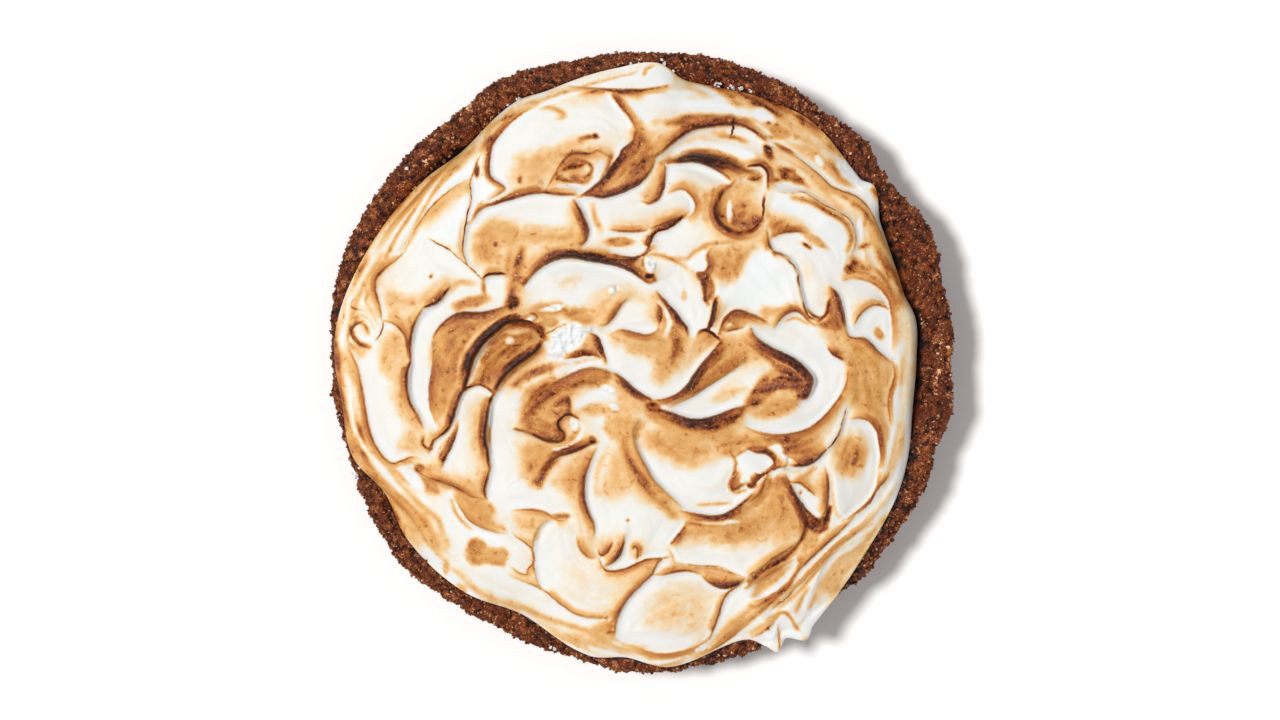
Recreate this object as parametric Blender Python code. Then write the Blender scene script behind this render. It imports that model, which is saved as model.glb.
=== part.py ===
"""Sweet potato pie in a crumb crust, topped with spooned and toasted meringue.

Two solids, in the pie's own frame (+Z up, origin at the middle of the underside):
    crust     pressed crumb crust, solid under the topping, with an uneven crumbly rim
    meringue  domed topping, shaped by spoon folds, that hangs over the rim in two tips
Lengths below are millimetres until MM turns them into metres.
"""

import math

import bmesh
import bpy
import numpy as np

MM = 0.001

# Crust, driving dimensions
RIM_HEIGHT = 36.0        # top of the rim above the table
FLOOR_RADIUS = 97.0      # flat underside, as a pie dish leaves it
BED_HEIGHT = 28.0        # level top of the crust under the meringue
CRUST_SECTORS = 180
CRUMB_RELIEF = 0.8       # how far crumb lumps stand out of the rim
CRUMB_SEED = 11
# The section of the wall: (mm inside the rim's outer edge, height), from the bed outwards.
RIM_SECTION = (
    (17.0, BED_HEIGHT), (13.5, 29.6), (10.0, 33.6), (7.0, 35.6), (3.8, RIM_HEIGHT),
    (1.4, 35.0), (0.0, 32.8), (1.6, 29.5), (9.0, 20.0),
)
# Radius of the rim's outer edge at a few azimuths, degrees from +X.
RIM_EDGE = (
    (0, 120.6), (18, 121.6), (27, 122.0), (37, 118.5), (45, 121.5), (52, 120.0), (62, 121.5),
    (70, 120.5), (76, 121.8), (90, 120.0), (105, 120.3), (118, 123.0), (125, 120.5),
    (140, 121.5), (162, 122.8), (180, 120.8), (200, 120.0), (212, 121.5), (222, 121.8),
    (229, 119.5), (245, 118.0), (258, 117.8), (267, 120.2), (290, 120.0), (310, 118.5),
    (316, 120.5), (325, 118.8), (336, 120.5), (343, 119.0), (350, 121.5),
)

# Meringue, driving dimensions
GAP = 0.45               # between the two solids
EDGE_HEIGHT = 38.0       # dome's skirt, where it meets the rim
DOME_RISE = 18.0         # from the skirt to the middle of the dome
SKIRT_WIDTH = 7.0        # over which the edge rounds down to the crust
EDGE_THICKNESS = 1.6     # of the meringue's very edge
TIP_THICKNESS = 4.5      # of the tips where they hang past the crust
SOFTNESS = 9.0           # how far a fold's rise carries into the surface beside it
TOP_RINGS = 100
MERINGUE_TRIANGLES = 9300
# Radius of the meringue's edge; the two short spikes near 295 and 301 degrees are the tips.
MERINGUE_EDGE = (
    (0, 106.8), (9, 107.8), (15, 105.3), (30, 107.3), (37, 113.0), (40, 110.5), (55, 114.0),
    (65, 112.5), (81, 110.5), (87, 116.0), (95, 114.3), (109, 111.5), (116, 112.3),
    (130, 107.7), (140, 110.3), (157, 114.7), (173, 119.4), (180, 119.3), (188, 117.5),
    (198, 118.3), (207, 112.2), (217, 114.2), (232, 113.0), (245, 108.7), (260, 116.0),
    (267, 115.0), (275, 119.0), (286, 115.0), (291, 115.5), (293.5, 120.5), (295, 124.3),
    (297.5, 121.0), (300.5, 125.4), (303, 122.0), (310, 118.0), (320, 114.0), (335, 111.3),
    (350, 107.0),
)

# Folds left by the spoon: (strength of the step, points on the fold's line). Going along the
# line, the crest stands on the left and the sheltered hollow lies on the right.
FOLDS = (
    # upper left: the big billow, its neighbours and the rim sweeps
    (5, (-59, 62), (-53, 67), (-58.5, 73), (-58, 82), (-50, 93), (-38, 100)),
    (6, (-3, 90), (-4, 85), (-9, 79.5), (-15, 71), (-25, 63.5)),
    (6, (-25, 63.3), (-13, 62.9), (-3, 67), (5, 77)),
    (6, (-66, 53), (-60, 59.5), (-50, 62.7), (-38, 64.6), (-24, 63.5)),
    (6, (-23, 44), (-20.5, 50), (-22.5, 56.5), (-26, 62.5)),
    (4, (-68.7, 42), (-68.5, 50), (-65.5, 62), (-62, 80)),
    (4, (-82.5, 47), (-75, 42.7), (-66, 35.5), (-61.5, 31.5)),
    (5, (-61, 31.5), (-57, 33.2), (-52.5, 33.2)),
    (4, (-12, 79), (-20, 81), (-30, 78.5), (-37, 68)),
    (3, (-66, 71.5), (-75, 66), (-84, 57), (-93, 41)),
    (2.5, (-62, 87.5), (-80, 72), (-96, 54), (-106, 38)),
    (3, (12, 107.5), (0, 105.5), (-14, 105.5), (-30, 107)),
    # top: the long curved billows and the bowl beside them
    (7, (5, 78), (12, 84), (20, 89), (30, 91.3), (40, 90), (47, 85.5)),
    (5, (41, 74), (32, 78), (22, 80), (14, 78.5), (7, 76.5)),
    (7, (9, 76), (20, 76.8), (27, 74.5), (33.5, 69.5)),
    (4, (3, 60.5), (7, 64), (8.7, 70), (9.3, 76)),
    (3, (10, 64.5), (15, 66.3), (19, 63.5), (19, 56.5)),
    (5, (-1, 40), (3.5, 46), (6, 50), (12, 52.5), (18, 56.5)),
    (5, (45.5, 54), (38, 49.6), (29.5, 55.5), (31, 65), (36.5, 69)),
    (4, (40, 74.5), (46, 75), (48, 69), (46.5, 57)),
    # right: the petals that open towards the rim
    (4, (98, 41), (91, 54), (84, 63.5), (74, 67.5), (66, 74.5), (50, 83.5)),
    (6, (81.5, 41), (83, 48), (80, 55.5), (70, 61), (62, 65.8), (52, 66.3)),
    (3, (50, 47.5), (56, 50), (64, 49)),
    (4, (57, 40), (50.5, 43), (48.5, 50)),
    (6, (71.5, 24), (67, 16.3), (63, 21), (60.8, 29), (59, 37), (50, 43.3)),
    (5, (79, 12), (77.3, 21), (72.5, 29.3)),
    (5, (96.5, 0), (91.5, 3.8), (87, 8.8), (79.5, 10.5)),
    (3, (78, 31), (86, 31.3), (94, 26), (96.5, 5)),
    (4, (82, 14), (86.5, 20), (95.5, 19.5)),
    (4, (79, -3), (76.5, -12.5), (70, -21), (60, -27), (50, -28), (40, -25)),
    (8, (60, -15), (65.3, -10), (63, -2.5), (54, 3.5), (44, 9.5)),
    (3, (51, 13), (58, 19.3), (66, 13.5)),
    (5, (80.5, -22.5), (88, -23.5), (91.5, -32), (91, -44), (86, -55), (77, -61)),
    (5, (57, -40.3), (66, -39), (71.5, -34), (77, -26), (79, -18.5)),
    # left: the crescent, the finger-shaped lobes and the outer sweep
    (4, (-100, 15.5), (-102, 24), (-102.5, 32), (-91, 42.5)),
    (5, (-85, -37), (-97, -38.7), (-103, -32), (-106.5, -20), (-108.5, -8), (-113.5, 9)),
    (3, (-104, 13.5), (-109, 15), (-112.5, 10), (-109, 6), (-104.5, 6.5)),
    (7, (-84, -25), (-89, -15.5), (-90.3, -6), (-89, 2), (-88, 12), (-84, 20)),
    (6, (-84, 20), (-79.5, 22), (-76, 25.5), (-72, 30)),
    (5, (-51, 22.3), (-60, 19.2), (-70, 18.8), (-77, 15), (-81, 7)),
    (8, (-67.7, -10), (-65.5, -2), (-60, 7.5), (-52, 14), (-44, 14.8), (-38, 10)),
    (8, (-58, -41), (-59.8, -29), (-58.3, -17), (-53, -6.5), (-44, 1), (-37.5, 8)),
    (6, (-81.5, -35), (-75, -27), (-71, -17), (-67.5, -11), (-63, -9.3), (-57, -13.3)),
    (4, (-88, -42), (-78, -46.5), (-66, -52), (-60, -53), (-60, -47), (-58, -41)),
    # middle: the long ridge, the fan and the hooks round them
    (7, (-46, 28), (-40, 35), (-32, 39.2), (-20, 38.5), (-8, 36), (3, 29.7)),
    (4, (4, 45), (-1, 40.8), (-12, 41.5)),
    (4, (-16, 13.3), (-11, 17), (-5, 24)),
    (4, (7, 14.5), (2, 10.4), (-5, 11.8), (-12, 10.7)),
    (4, (-13.3, -0.5), (-15.8, 7), (-20.5, 11.2)),
    (4, (-11, -4.3), (-22, -2.6), (-35, -8.8), (-44, -18)),
    (5, (5, -14.8), (-3, -10.3), (-10.5, -4)),
    (5, (-49, -26.5), (-40, -29.5), (-32.5, -31.2), (-30, -27), (-27, -21)),
    (4, (-38, -41), (-32, -36.5), (-24, -34), (-17, -31.5)),
    (6, (15.5, -55.5), (8, -49), (2, -42), (-2.5, -35), (-3, -26)),
    (5, (18, 10), (15.5, 15.5), (10.5, 21.5), (6, 27)),
    (7, (30, 8), (23, -0.5), (17, -9), (10, -14), (3, -14.5)),
    (7, (41, -16.5), (30, -20), (20, -22), (10, -19), (3, -18)),
    (5, (28.5, 25), (27, 18), (25, 12.2)),
    (4, (49, 15), (44, 17.5), (37, 19.8), (31.5, 16.5), (29.5, 10.5)),
    # bottom: the round scoops, the curl and the sweeps that end in the tips
    (5, (-18, -67), (-21, -56.5), (-22, -48), (-19, -37)),
    (3, (-52, -82.5), (-40, -88.5), (-30, -95.5), (-13, -99)),
    (4, (-36, -91), (-41.3, -80), (-41, -67), (-34, -61)),
    (4, (11, -74.8), (1, -76.2), (-8, -80), (-15.5, -78)),
    (4, (-15.5, -79), (-9, -75), (-6.5, -67)),
    (5, (-10.3, -107), (-7.5, -95), (0.5, -85.5), (10.5, -75)),
    (4, (5, -82.5), (15, -81), (23, -83), (31, -87.3), (40, -84)),
    (4, (22, -110.5), (28, -103.5), (31.5, -92.5), (41, -84.5)),
    (6, (43, -50), (34, -57), (27, -59.3), (15, -57)),
    (5, (40, -84.5), (52, -75.5), (61, -69), (63.3, -61), (60, -53), (55, -45)),
    (6, (68.5, -60.8), (61.5, -54.5), (56, -44)),
    (4, (69.5, -60.5), (72, -52), (71, -42)),
    (4, (58, -84), (67, -74.5), (76, -66.5), (88, -55), (95, -45)),
    (3, (56, -92), (66, -81), (76, -71), (86, -63), (95, -52)),
    (3, (53, -99), (52.8, -105), (53.2, -112)),
    (2.5, (18, -116), (32, -109), (45, -98)),
)
STEP_HEIGHT = 1.35       # of a fold of strength 1
HIGH_SHARE = 0.6         # of a fold's step that rises above the dome; the rest sinks below
FOLD_GRID = 1.0          # cell size on which the surface between folds is relaxed
COARSE_STEPS = 4         # the relaxing starts on cells 2 ** COARSE_STEPS times as large
RELAX_ROUNDS = 40

PALETTE = {
    "crust": ((0.150, 0.052, 0.022, 1.0), 0.85),
    "meringue": ((0.860, 0.640, 0.390, 1.0), 0.55),
}


def clear_scene():
    """Remove what the file holds, so that the script can be run again."""
    for thing in list(bpy.data.objects):
        bpy.data.objects.remove(thing, do_unlink=True)


def radius_at(edge, degrees):
    """Radius of a closed outline through its (azimuth, radius) points, smooth between them."""
    azimuth = np.array([a for a, _ in edge], float)
    radius = np.array([r for _, r in edge], float)
    azimuth = np.concatenate((azimuth[-2:] - 360, azimuth, azimuth[:3] + 360))
    radius = np.concatenate((radius[-2:], radius, radius[:3]))
    slope = np.zeros_like(radius)
    slope[1:-1] = (radius[2:] - radius[:-2]) / (azimuth[2:] - azimuth[:-2])
    degrees = np.mod(degrees, 360)
    left = np.clip(np.searchsorted(azimuth, degrees, side="right") - 1, 1, len(azimuth) - 3)
    span = azimuth[left + 1] - azimuth[left]
    t = (degrees - azimuth[left]) / span
    return (
        (2 * t**3 - 3 * t**2 + 1) * radius[left]
        + (t**3 - 2 * t**2 + t) * span * slope[left]
        + (3 * t**2 - 2 * t**3) * radius[left + 1]
        + (t**3 - t**2) * span * slope[left + 1]
    )


def crust_top(x, y):
    """Height of the crust's upper surface at a place, without its crumb lumps."""
    radius = np.hypot(x, y)
    inside = radius_at(RIM_EDGE, np.degrees(np.arctan2(y, x))) - radius
    upper = [point for point in RIM_SECTION if point[1] >= BED_HEIGHT][:6]
    across = [point[0] for point in reversed(upper)]
    height = [point[1] for point in reversed(upper)]
    return np.interp(inside, across, height)


def crumb_lumps(rings):
    """Uneven lumps of about -1 to 1 for each ring and sector, each like its neighbours."""
    lump = np.random.default_rng(CRUMB_SEED).uniform(-1, 1, (rings, CRUST_SECTORS))
    return 0.5 * lump + 0.3 * (np.roll(lump, 1, axis=1) + np.roll(lump, -1, axis=1))


def smooth_line(points, spacing):
    """Points at even steps on a curve through the given ones, with the curve's directions."""
    knots = np.array(points, float)
    ends = (2 * knots[:1] - knots[1:2], knots, 2 * knots[-1:] - knots[-2:-1])
    p = np.concatenate(ends)
    pieces = []
    for i in range(len(knots) - 1):
        count = max(2, int(np.linalg.norm(knots[i + 1] - knots[i]) / spacing))
        t = (np.arange(count) / count)[:, None]
        a, b, c, d = p[i], p[i + 1], p[i + 2], p[i + 3]
        pieces.append(
            0.5 * (2 * b + (c - a) * t + (2 * a - 5 * b + 4 * c - d) * t**2
                   + (3 * b - a - 3 * c + d) * t**3)
        )
    line = np.concatenate(pieces + [knots[-1:]])
    along = np.gradient(line, axis=0)
    along /= np.linalg.norm(along, axis=1, keepdims=True)
    return line, along


def fold_relief():
    """Grid of heights: each fold fixes its crest and hollow, and the rest relaxes between."""
    half = 128.0
    cells = int(2 * half / FOLD_GRID)
    total = np.zeros((cells, cells))
    count = np.zeros((cells, cells))
    for step, *points in FOLDS:
        line, along = smooth_line(points, FOLD_GRID / 3)
        left = np.stack((-along[:, 1], along[:, 0]), axis=1)
        taper = np.sqrt(np.sin(np.linspace(0.12, math.pi - 0.12, len(line))))
        rise = STEP_HEIGHT * step * taper
        for side, share in ((0.75, HIGH_SHARE), (-0.75, HIGH_SHARE - 1)):
            place = (line + side * FOLD_GRID * left + half) / FOLD_GRID
            column, row = place.astype(int).T
            np.add.at(total, (row, column), share * rise)
            np.add.at(count, (row, column), 1)
    height = None
    for level in range(COARSE_STEPS, -1, -1):
        block = 2**level
        size = cells // block
        fixed_count = count.reshape(size, block, size, block).sum(axis=(1, 3))
        fixed_total = total.reshape(size, block, size, block).sum(axis=(1, 3))
        fixed = fixed_count > 0
        value = fixed_total / np.maximum(fixed_count, 1)
        stiffness = (FOLD_GRID * block / SOFTNESS) ** 2
        height = np.zeros((size, size)) if height is None else height.repeat(2, 0).repeat(2, 1)
        for _ in range(RELAX_ROUNDS):
            height[fixed] = value[fixed]
            edge = np.pad(height, 1)
            beside = edge[:-2, 1:-1] + edge[2:, 1:-1] + edge[1:-1, :-2] + edge[1:-1, 2:]
            height = beside / (4 + stiffness)
        height[fixed] = value[fixed]
    for axis in (0, 1):
        height = (np.roll(height, 1, axis) + 2 * height + np.roll(height, -1, axis)) / 4
    return height, half


def sample(grid, half, x, y):
    """Bilinear reading of the relief grid at places in millimetres."""
    column = np.clip((x + half) / FOLD_GRID - 0.5, 0, len(grid) - 1.001)
    row = np.clip((y + half) / FOLD_GRID - 0.5, 0, len(grid) - 1.001)
    i, j = row.astype(int), column.astype(int)
    u, v = row - i, column - j
    return (
        grid[i, j] * (1 - u) * (1 - v) + grid[i + 1, j] * u * (1 - v)
        + grid[i, j + 1] * (1 - u) * v + grid[i + 1, j + 1] * u * v
    )


def meringue_heights(share, edge_radius, x, y):
    """Top and underside of the meringue, share being how far out each place lies, 0 to 1."""
    grid, half = fold_relief()
    to_edge = (1 - share) * edge_radius
    dome = EDGE_HEIGHT + DOME_RISE * np.clip(1 - share**3.2, 0, 1) ** 0.8
    relief = sample(grid, half, x, y) * (0.35 + 0.65 * np.clip(to_edge / 18, 0, 1))
    under = crust_top(x, y) + GAP
    overhang = np.hypot(x, y) - radius_at(RIM_EDGE, np.degrees(np.arctan2(y, x)))
    rounding = np.sqrt(1 - (1 - np.clip(to_edge / SKIRT_WIDTH, 0, 1)) ** 2)
    inner_top = np.maximum(dome + relief, under + 3)
    top = under + EDGE_THICKNESS + (inner_top - under - EDGE_THICKNESS) * rounding
    hanging = np.clip((overhang + 1.5) / 1.5, 0, 1)
    tip_top = RIM_HEIGHT + GAP + TIP_THICKNESS * (0.45 + 0.55 * rounding)
    under = under * (1 - hanging) + (RIM_HEIGHT + GAP) * hanging
    top = top * (1 - hanging) + tip_top * hanging
    return top, under


def new_object(name, bm):
    """Turn a bmesh in metres into a named object with its own material."""
    mesh = bpy.data.meshes.new(name)
    bmesh.ops.recalc_face_normals(bm, faces=bm.faces)
    bm.to_mesh(mesh)
    bm.free()
    colour, roughness = PALETTE[name]
    material = bpy.data.materials.new(name)
    material.use_nodes = True
    shader = material.node_tree.nodes["Principled BSDF"]
    shader.inputs["Base Color"].default_value = colour
    shader.inputs["Roughness"].default_value = roughness
    material.diffuse_color = colour
    mesh.materials.append(material)
    thing = bpy.data.objects.new(name, mesh)
    bpy.context.collection.objects.link(thing)
    return thing


def make_crust():
    """Turn the wall's section round the pie, with lumps where the crumbs show."""
    bm = bmesh.new()
    angle = np.arange(CRUST_SECTORS) * 2 * math.pi / CRUST_SECTORS
    edge = radius_at(RIM_EDGE, np.degrees(angle))
    rings = []
    for i, lump in enumerate(CRUMB_RELIEF * crumb_lumps(len(RIM_SECTION))):
        inset, height = RIM_SECTION[i]
        upper = height > BED_HEIGHT and i < 5
        dip = np.minimum(lump, 0) if upper else 0
        swell = 0 if upper or i == 0 else lump
        rings.append((edge - inset + swell, height + dip))
    foot = FLOOR_RADIUS + 0.25 * (edge - edge.mean())
    rings.append((foot + 1.2, 2.2))
    rings.append((foot, 0.0))
    loops = []
    for radius, height in rings:
        level = np.broadcast_to(height, radius.shape)
        loops.append([
            bm.verts.new((r * math.cos(a) * MM, r * math.sin(a) * MM, z * MM))
            for r, a, z in zip(radius, angle, level)
        ])
    for inner, outer in zip(loops, loops[1:]):
        for k in range(CRUST_SECTORS):
            n = (k + 1) % CRUST_SECTORS
            bm.faces.new((inner[k], outer[k], outer[n], inner[n]))
    bm.faces.new(loops[0])
    bm.faces.new(loops[-1])
    return new_object("crust", bm)


def disc_points():
    """Places on a disc of even triangles: ring k holds 6 k places; share and azimuth."""
    share, azimuth = [0.0], [0.0]
    for k in range(1, TOP_RINGS + 1):
        share.extend([k / TOP_RINGS] * (6 * k))
        azimuth.extend(360.0 * i / (6 * k) for i in range(6 * k))
    return np.array(share), np.array(azimuth)


def disc_triangles():
    """Triangles between each ring of disc_points and the next."""
    faces = []
    for k in range(1, TOP_RINGS + 1):
        inner_start = 1 + 3 * (k - 1) * (k - 2) if k > 1 else 0
        outer_start = 1 + 3 * k * (k - 1)
        inner_count, outer_count = max(1, 6 * (k - 1)), 6 * k
        for side in range(6):
            for i in range(k):
                outer = outer_start + side * k + i
                following = outer_start + (side * k + i + 1) % outer_count
                inner = inner_start + (side * (k - 1) + i) % inner_count
                faces.append((inner, outer, following))
                if i < k - 1:
                    beside = inner_start + (side * (k - 1) + i + 1) % inner_count
                    faces.append((inner, following, beside))
    return faces


def make_meringue():
    """Raise the folded dome over the crust, close it underneath and thin its mesh."""
    share, azimuth = disc_points()
    edge_radius = radius_at(MERINGUE_EDGE, azimuth)
    x = edge_radius * share * np.cos(np.radians(azimuth))
    y = edge_radius * share * np.sin(np.radians(azimuth))
    top, under = meringue_heights(share, edge_radius, x, y)
    rim_start = 1 + 3 * TOP_RINGS * (TOP_RINGS - 1)
    bm = bmesh.new()
    upper = [bm.verts.new((a * MM, b * MM, c * MM)) for a, b, c in zip(x, y, top)]
    lower = [bm.verts.new((a * MM, b * MM, c * MM)) for a, b, c in zip(x, y, under)]
    for a, b, c in disc_triangles():
        bm.faces.new((upper[a], upper[b], upper[c]))
        bm.faces.new((lower[a], lower[c], lower[b]))
    rim = 6 * TOP_RINGS
    for k in range(rim):
        n = (k + 1) % rim
        bm.faces.new((upper[rim_start + k], lower[rim_start + k],
                      lower[rim_start + n], upper[rim_start + n]))
    thing = new_object("meringue", bm)
    thinner = thing.modifiers.new("fewer triangles", "DECIMATE")
    thinner.ratio = MERINGUE_TRIANGLES / (2 * 6 * TOP_RINGS**2 + 2 * rim)
    return thing


def main():
    clear_scene()
    make_crust()
    make_meringue()


main()
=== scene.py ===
"""Looks of the sweet potato pie: toasted meringue and crumb crust, on a white floor.

The meringue is worked out on a fine grid. Every fold that the spoon left fixes the height and
the toast on its two sides, the rest relaxes between them, and fine streaks follow the folds.
Tables are in millimetres, in the pie's own frame (+X right, +Y away, +Z up); MM makes metres.
Toast is a number: 0 is white foam, about 0.4 golden, 0.75 brown and 1 nearly black.
"""

import math
from collections import namedtuple

import bpy
import numpy as np
from mathutils.kdtree import KDTree
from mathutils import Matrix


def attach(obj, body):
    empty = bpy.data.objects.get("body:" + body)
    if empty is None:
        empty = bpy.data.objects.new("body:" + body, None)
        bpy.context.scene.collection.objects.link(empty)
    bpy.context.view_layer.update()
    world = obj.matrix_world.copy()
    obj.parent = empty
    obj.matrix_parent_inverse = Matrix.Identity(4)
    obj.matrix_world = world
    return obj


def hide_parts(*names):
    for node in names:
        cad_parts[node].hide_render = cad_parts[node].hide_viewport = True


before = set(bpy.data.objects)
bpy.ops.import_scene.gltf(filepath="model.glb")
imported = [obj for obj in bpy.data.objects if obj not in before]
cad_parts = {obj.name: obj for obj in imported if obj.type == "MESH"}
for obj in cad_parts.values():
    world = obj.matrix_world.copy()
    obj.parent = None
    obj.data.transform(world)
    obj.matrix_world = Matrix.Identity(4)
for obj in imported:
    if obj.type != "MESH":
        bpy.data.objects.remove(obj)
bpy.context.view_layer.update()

MM = 0.001
HALF = 128.0             # half side of the square that the grids cover
CELL = 0.5               # side of a grid cell
CELLS = int(2 * HALF / CELL)
SEED = 20

# Construction values that the meringue and the crust share with the part's solids
RIM_HEIGHT = 36.0
BED_HEIGHT = 28.0        # of the crust under the meringue
FLOOR_RADIUS = 97.0      # of the crust's flat underside
# The crust's section, from its bed over the rim and down the wall: mm inside the rim's edge,
# then height. The first TOP_KNOTS of its points are the upper side.
RIM_SECTION = (
    (17.0, BED_HEIGHT), (13.5, 29.6), (10.0, 33.6), (7.0, 35.6), (3.8, RIM_HEIGHT),
    (1.4, 35.0), (0.0, 32.8), (1.6, 29.5), (9.0, 20.0),
)
TOP_KNOTS = 6
# Outlines seen from above: azimuth in degrees, then radius.
RIM_EDGE = (
    (0, 120.6), (18, 121.6), (27, 122.0), (37, 118.5), (45, 121.5), (52, 120.0), (62, 121.5),
    (70, 120.5), (76, 121.8), (90, 120.0), (105, 120.3), (118, 123.0), (125, 120.5),
    (140, 121.5), (162, 122.8), (180, 120.8), (200, 120.0), (212, 121.5), (222, 121.8),
    (229, 119.5), (245, 118.0), (258, 117.8), (267, 120.2), (290, 120.0), (310, 118.5),
    (316, 120.5), (325, 118.8), (336, 120.5), (343, 119.0), (350, 121.5),
)
MERINGUE_EDGE = (
    (0, 106.8), (9, 107.8), (15, 105.3), (30, 107.3), (37, 113.0), (40, 110.5), (55, 114.0),
    (65, 112.5), (81, 110.5), (87, 116.0), (95, 114.3), (109, 111.5), (116, 112.3),
    (130, 107.7), (140, 110.3), (157, 114.7), (173, 119.4), (180, 119.3), (188, 117.5),
    (198, 118.3), (207, 112.2), (217, 114.2), (232, 113.0), (245, 108.7), (260, 116.0),
    (267, 115.0), (275, 119.0), (286, 115.0), (291, 115.5), (293.5, 120.5), (295, 124.3),
    (297.5, 121.0), (300.5, 125.4), (303, 122.0), (310, 118.0), (320, 114.0), (335, 111.3),
    (350, 107.0),
)
GAP = 0.45               # between the crust's bed and the meringue
EDGE_HEIGHT = 38.0       # of the dome at the meringue's edge
DOME_RISE = 18.0         # from there to the dome's middle
DOME_POWERS = (3.2, 0.8)  # of the curve between them: nearly flat in the middle
SKIRT_WIDTH = 7.0        # of the meringue's rounded edge
STEEP_AZIMUTH = -2.0     # middle of the side where that edge is steep
STEEPER_SKIRT = 3.5      # how much narrower it is there
EDGE_THICKNESS = 1.6     # of the meringue where it ends on the crust
LEAST_THICKNESS = 3.0    # of the meringue inside its edge, however deep a fold is
TIP_THICKNESS = 4.5      # of the tips that hang past the crust
TIP_EDGE = 0.45          # share of that thickness which is left at their outline
TIP_START = 1.5          # mm inside the rim's edge, where they start to leave the crust
STEP_HEIGHT = 1.05       # of a fold of step 1
HIGH_SHARE = 0.6         # of a fold's step is raised on its left, the rest is cut on its right

# Meringue: relief
HEIGHT_REACH = 9.0       # mm that a fold's step carries into the surface beside it
EASE_LEVELS = 5          # times that the grid is halved to ease a surface between the folds
EASE_ROUNDS = 45         # of easing on each of those grids
CREST_ROUNDS = 5         # of smoothing, which round the crests off
SOFT_ROUNDS = 14         # of smoothing, for what the crests and the borders stand out from
CREST_LEAN = 0.28        # how far the crests lean out over the hollows beside them
LEAN_LIMIT = 1.1         # mm that they lean out at most
LEAN_INSET = (2, 14)     # mm from the meringue's edge, between which the lean sets in
RELIEF_FADE = 18.0       # mm from the meringue's edge in which the folds get lower
EDGE_RELIEF = 0.35       # share of their height that is left at the edge
FINE_STREAKS = (1.1, 7.0)  # width and length of the fine ridges that follow the folds
BROAD_STREAKS = (3.0, 17.5)  # and of the broad ones
FINE_RELIEF = 0.05       # mm, of the fine ridges
BROWN_RELIEF = 0.10      # mm more of them where the foam is brown
BROWN_TOAST = (0.25, 0.7)  # toasts between which that sets in
BROAD_RELIEF = 0.22      # mm, of the broad ones
TORN_RELIEF = 2.0        # mm that torn foam stands up
TOP_RINGS = 240
UNDER_INSETS = (0.0, 2.0, 5.0, 9.0)  # mm from the edge to the rings of the underside
MERINGUE_TRIANGLES = 190_000

# Meringue: toast
BASE_TOAST = 0.06        # where nothing else says more
TORN_TOAST = 0.02        # of torn foam
TOAST_REACH = 4.2        # mm that the toast on a fold's sides carries into the surface
DIRECTION_REACH = 30.0   # mm that a fold turns the streaks beside it
SIDE = 0.8               # cells from a fold's line to the cells that it fixes
GOLD_LIFT = 0.08         # added to the golden toasts
GOLD_RISE = (0.10, 0.35)  # toasts between which that sets in
GOLD_FALL = (0.55, 0.80)  # toasts between which it ends
RIM_STREAKS = 0.16       # toast of the streaks along the meringue's edge
RIM_STREAKS_FROM = (88, 102)  # mm from the pie's middle, between which they set in
RIM_FADE = (5, 13)       # mm from the edge, between which the toast of RIM_TOAST ends
EDGE_TOAST = 0.08        # more of it along the very edge
EDGE_TOAST_FADE = (0.5, 3.0)  # mm from the edge, between which that ends
AREA_SOFT = 1.25         # mm, for each unit of softness of an area's border
DARK_KEPT = 0.4          # how far a toasted area lightens what is darker than it
SMALL_PATCH = 3.0        # patches narrower than this lie over the folds' toast
TOAST_CRISP = 0.5        # how much the borders of the toasted places are sharpened
CRISP_TOP = 0.86         # no toast is sharpened above this
BAND_EXTRA = 0.17        # toast of the band along a crest, above the toast beside it
BAND_FROM = 0.3          # least toast on a fold's left that gives it such a band
INK_ASIDE = 0.09         # mm that a scorched line lies on its crest, for each unit of step
INK_FADE = (2.6, 3.6)    # mm from a fold, between which its ink and its band fade out
END_FADE = (0.4, 1.2)    # mm past a fold's end, between which they fade out too
SHARED_FROM = 0.6        # mm from a fold, beyond which a second one may hide its ink
SHARED_WITHIN = 0.9      # mm that the second one may be farther away
BAKE_TOP = 0.455 / 130   # share of the baked picture for a mm of the meringue's top
BAKE_UNDER = 0.065 / 130  # the same for its underside
BAKE_MIDDLES = (0.93, 0.46)  # of the underside and of the top in that picture, on both axes

# What keeps toasts and borders uneven: strength and length in mm of each layer of lumps.
RIM_LUMPS = ((0.06, 12), (0.04, 4))  # in the toast along the meringue's edge
AREA_LUMPS = ((1.2, 9), (0.7, 3), (0.4, 1.2))  # in the areas' borders, in mm
CLOUD_LUMPS = ((0.10, 11), (0.04, 4))  # in the areas' toast, round CLOUD_MEAN
CLOUD_MEAN = 0.94
PATCH_LUMPS = ((0.28, 7), (0.16, 3))  # in the patches' borders, as shares of their reach
PATCH_BORDER = (0.55, 1.28)  # shares of its reach, between which a patch fades out
TORN_LUMPS = ((0.35, 3),)  # in the borders of torn foam, as shares of its reach
TORN_BORDER = (0.75, 1.1)  # shares of its reach, between which it ends

# Toast of the sweeps along the meringue's edge, at a few azimuths. Round 0 degrees it is kept low as
# painted light, to offset the shade on the steep edge there.
RIM_TOAST = (
    (0, .12), (12, .08), (22, .38), (35, .40), (60, .44), (75, .28), (90, .06), (105, .12),
    (115, .10), (135, .20), (150, .28), (180, .34), (205, .36), (225, .25), (245, .18),
    (265, .20), (285, .20), (297, .10), (307, .12), (318, .34), (335, .26), (350, .20),
)
# Width in mm of the painted shadow in the dark hollow between the crust and the meringue, at a few
# azimuths.
HOLLOW_SHADOW_WIDTHS = (
    (0, 3.0), (30, 2.8), (45, 1.2), (60, .4), (90, .4), (120, .4), (128, .6), (133, 3.4),
    (138, 3.4), (143, .6), (160, .4), (200, .4), (240, .4), (280, .4), (300, .6), (310, 2.6),
    (335, 3.2),
)
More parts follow.
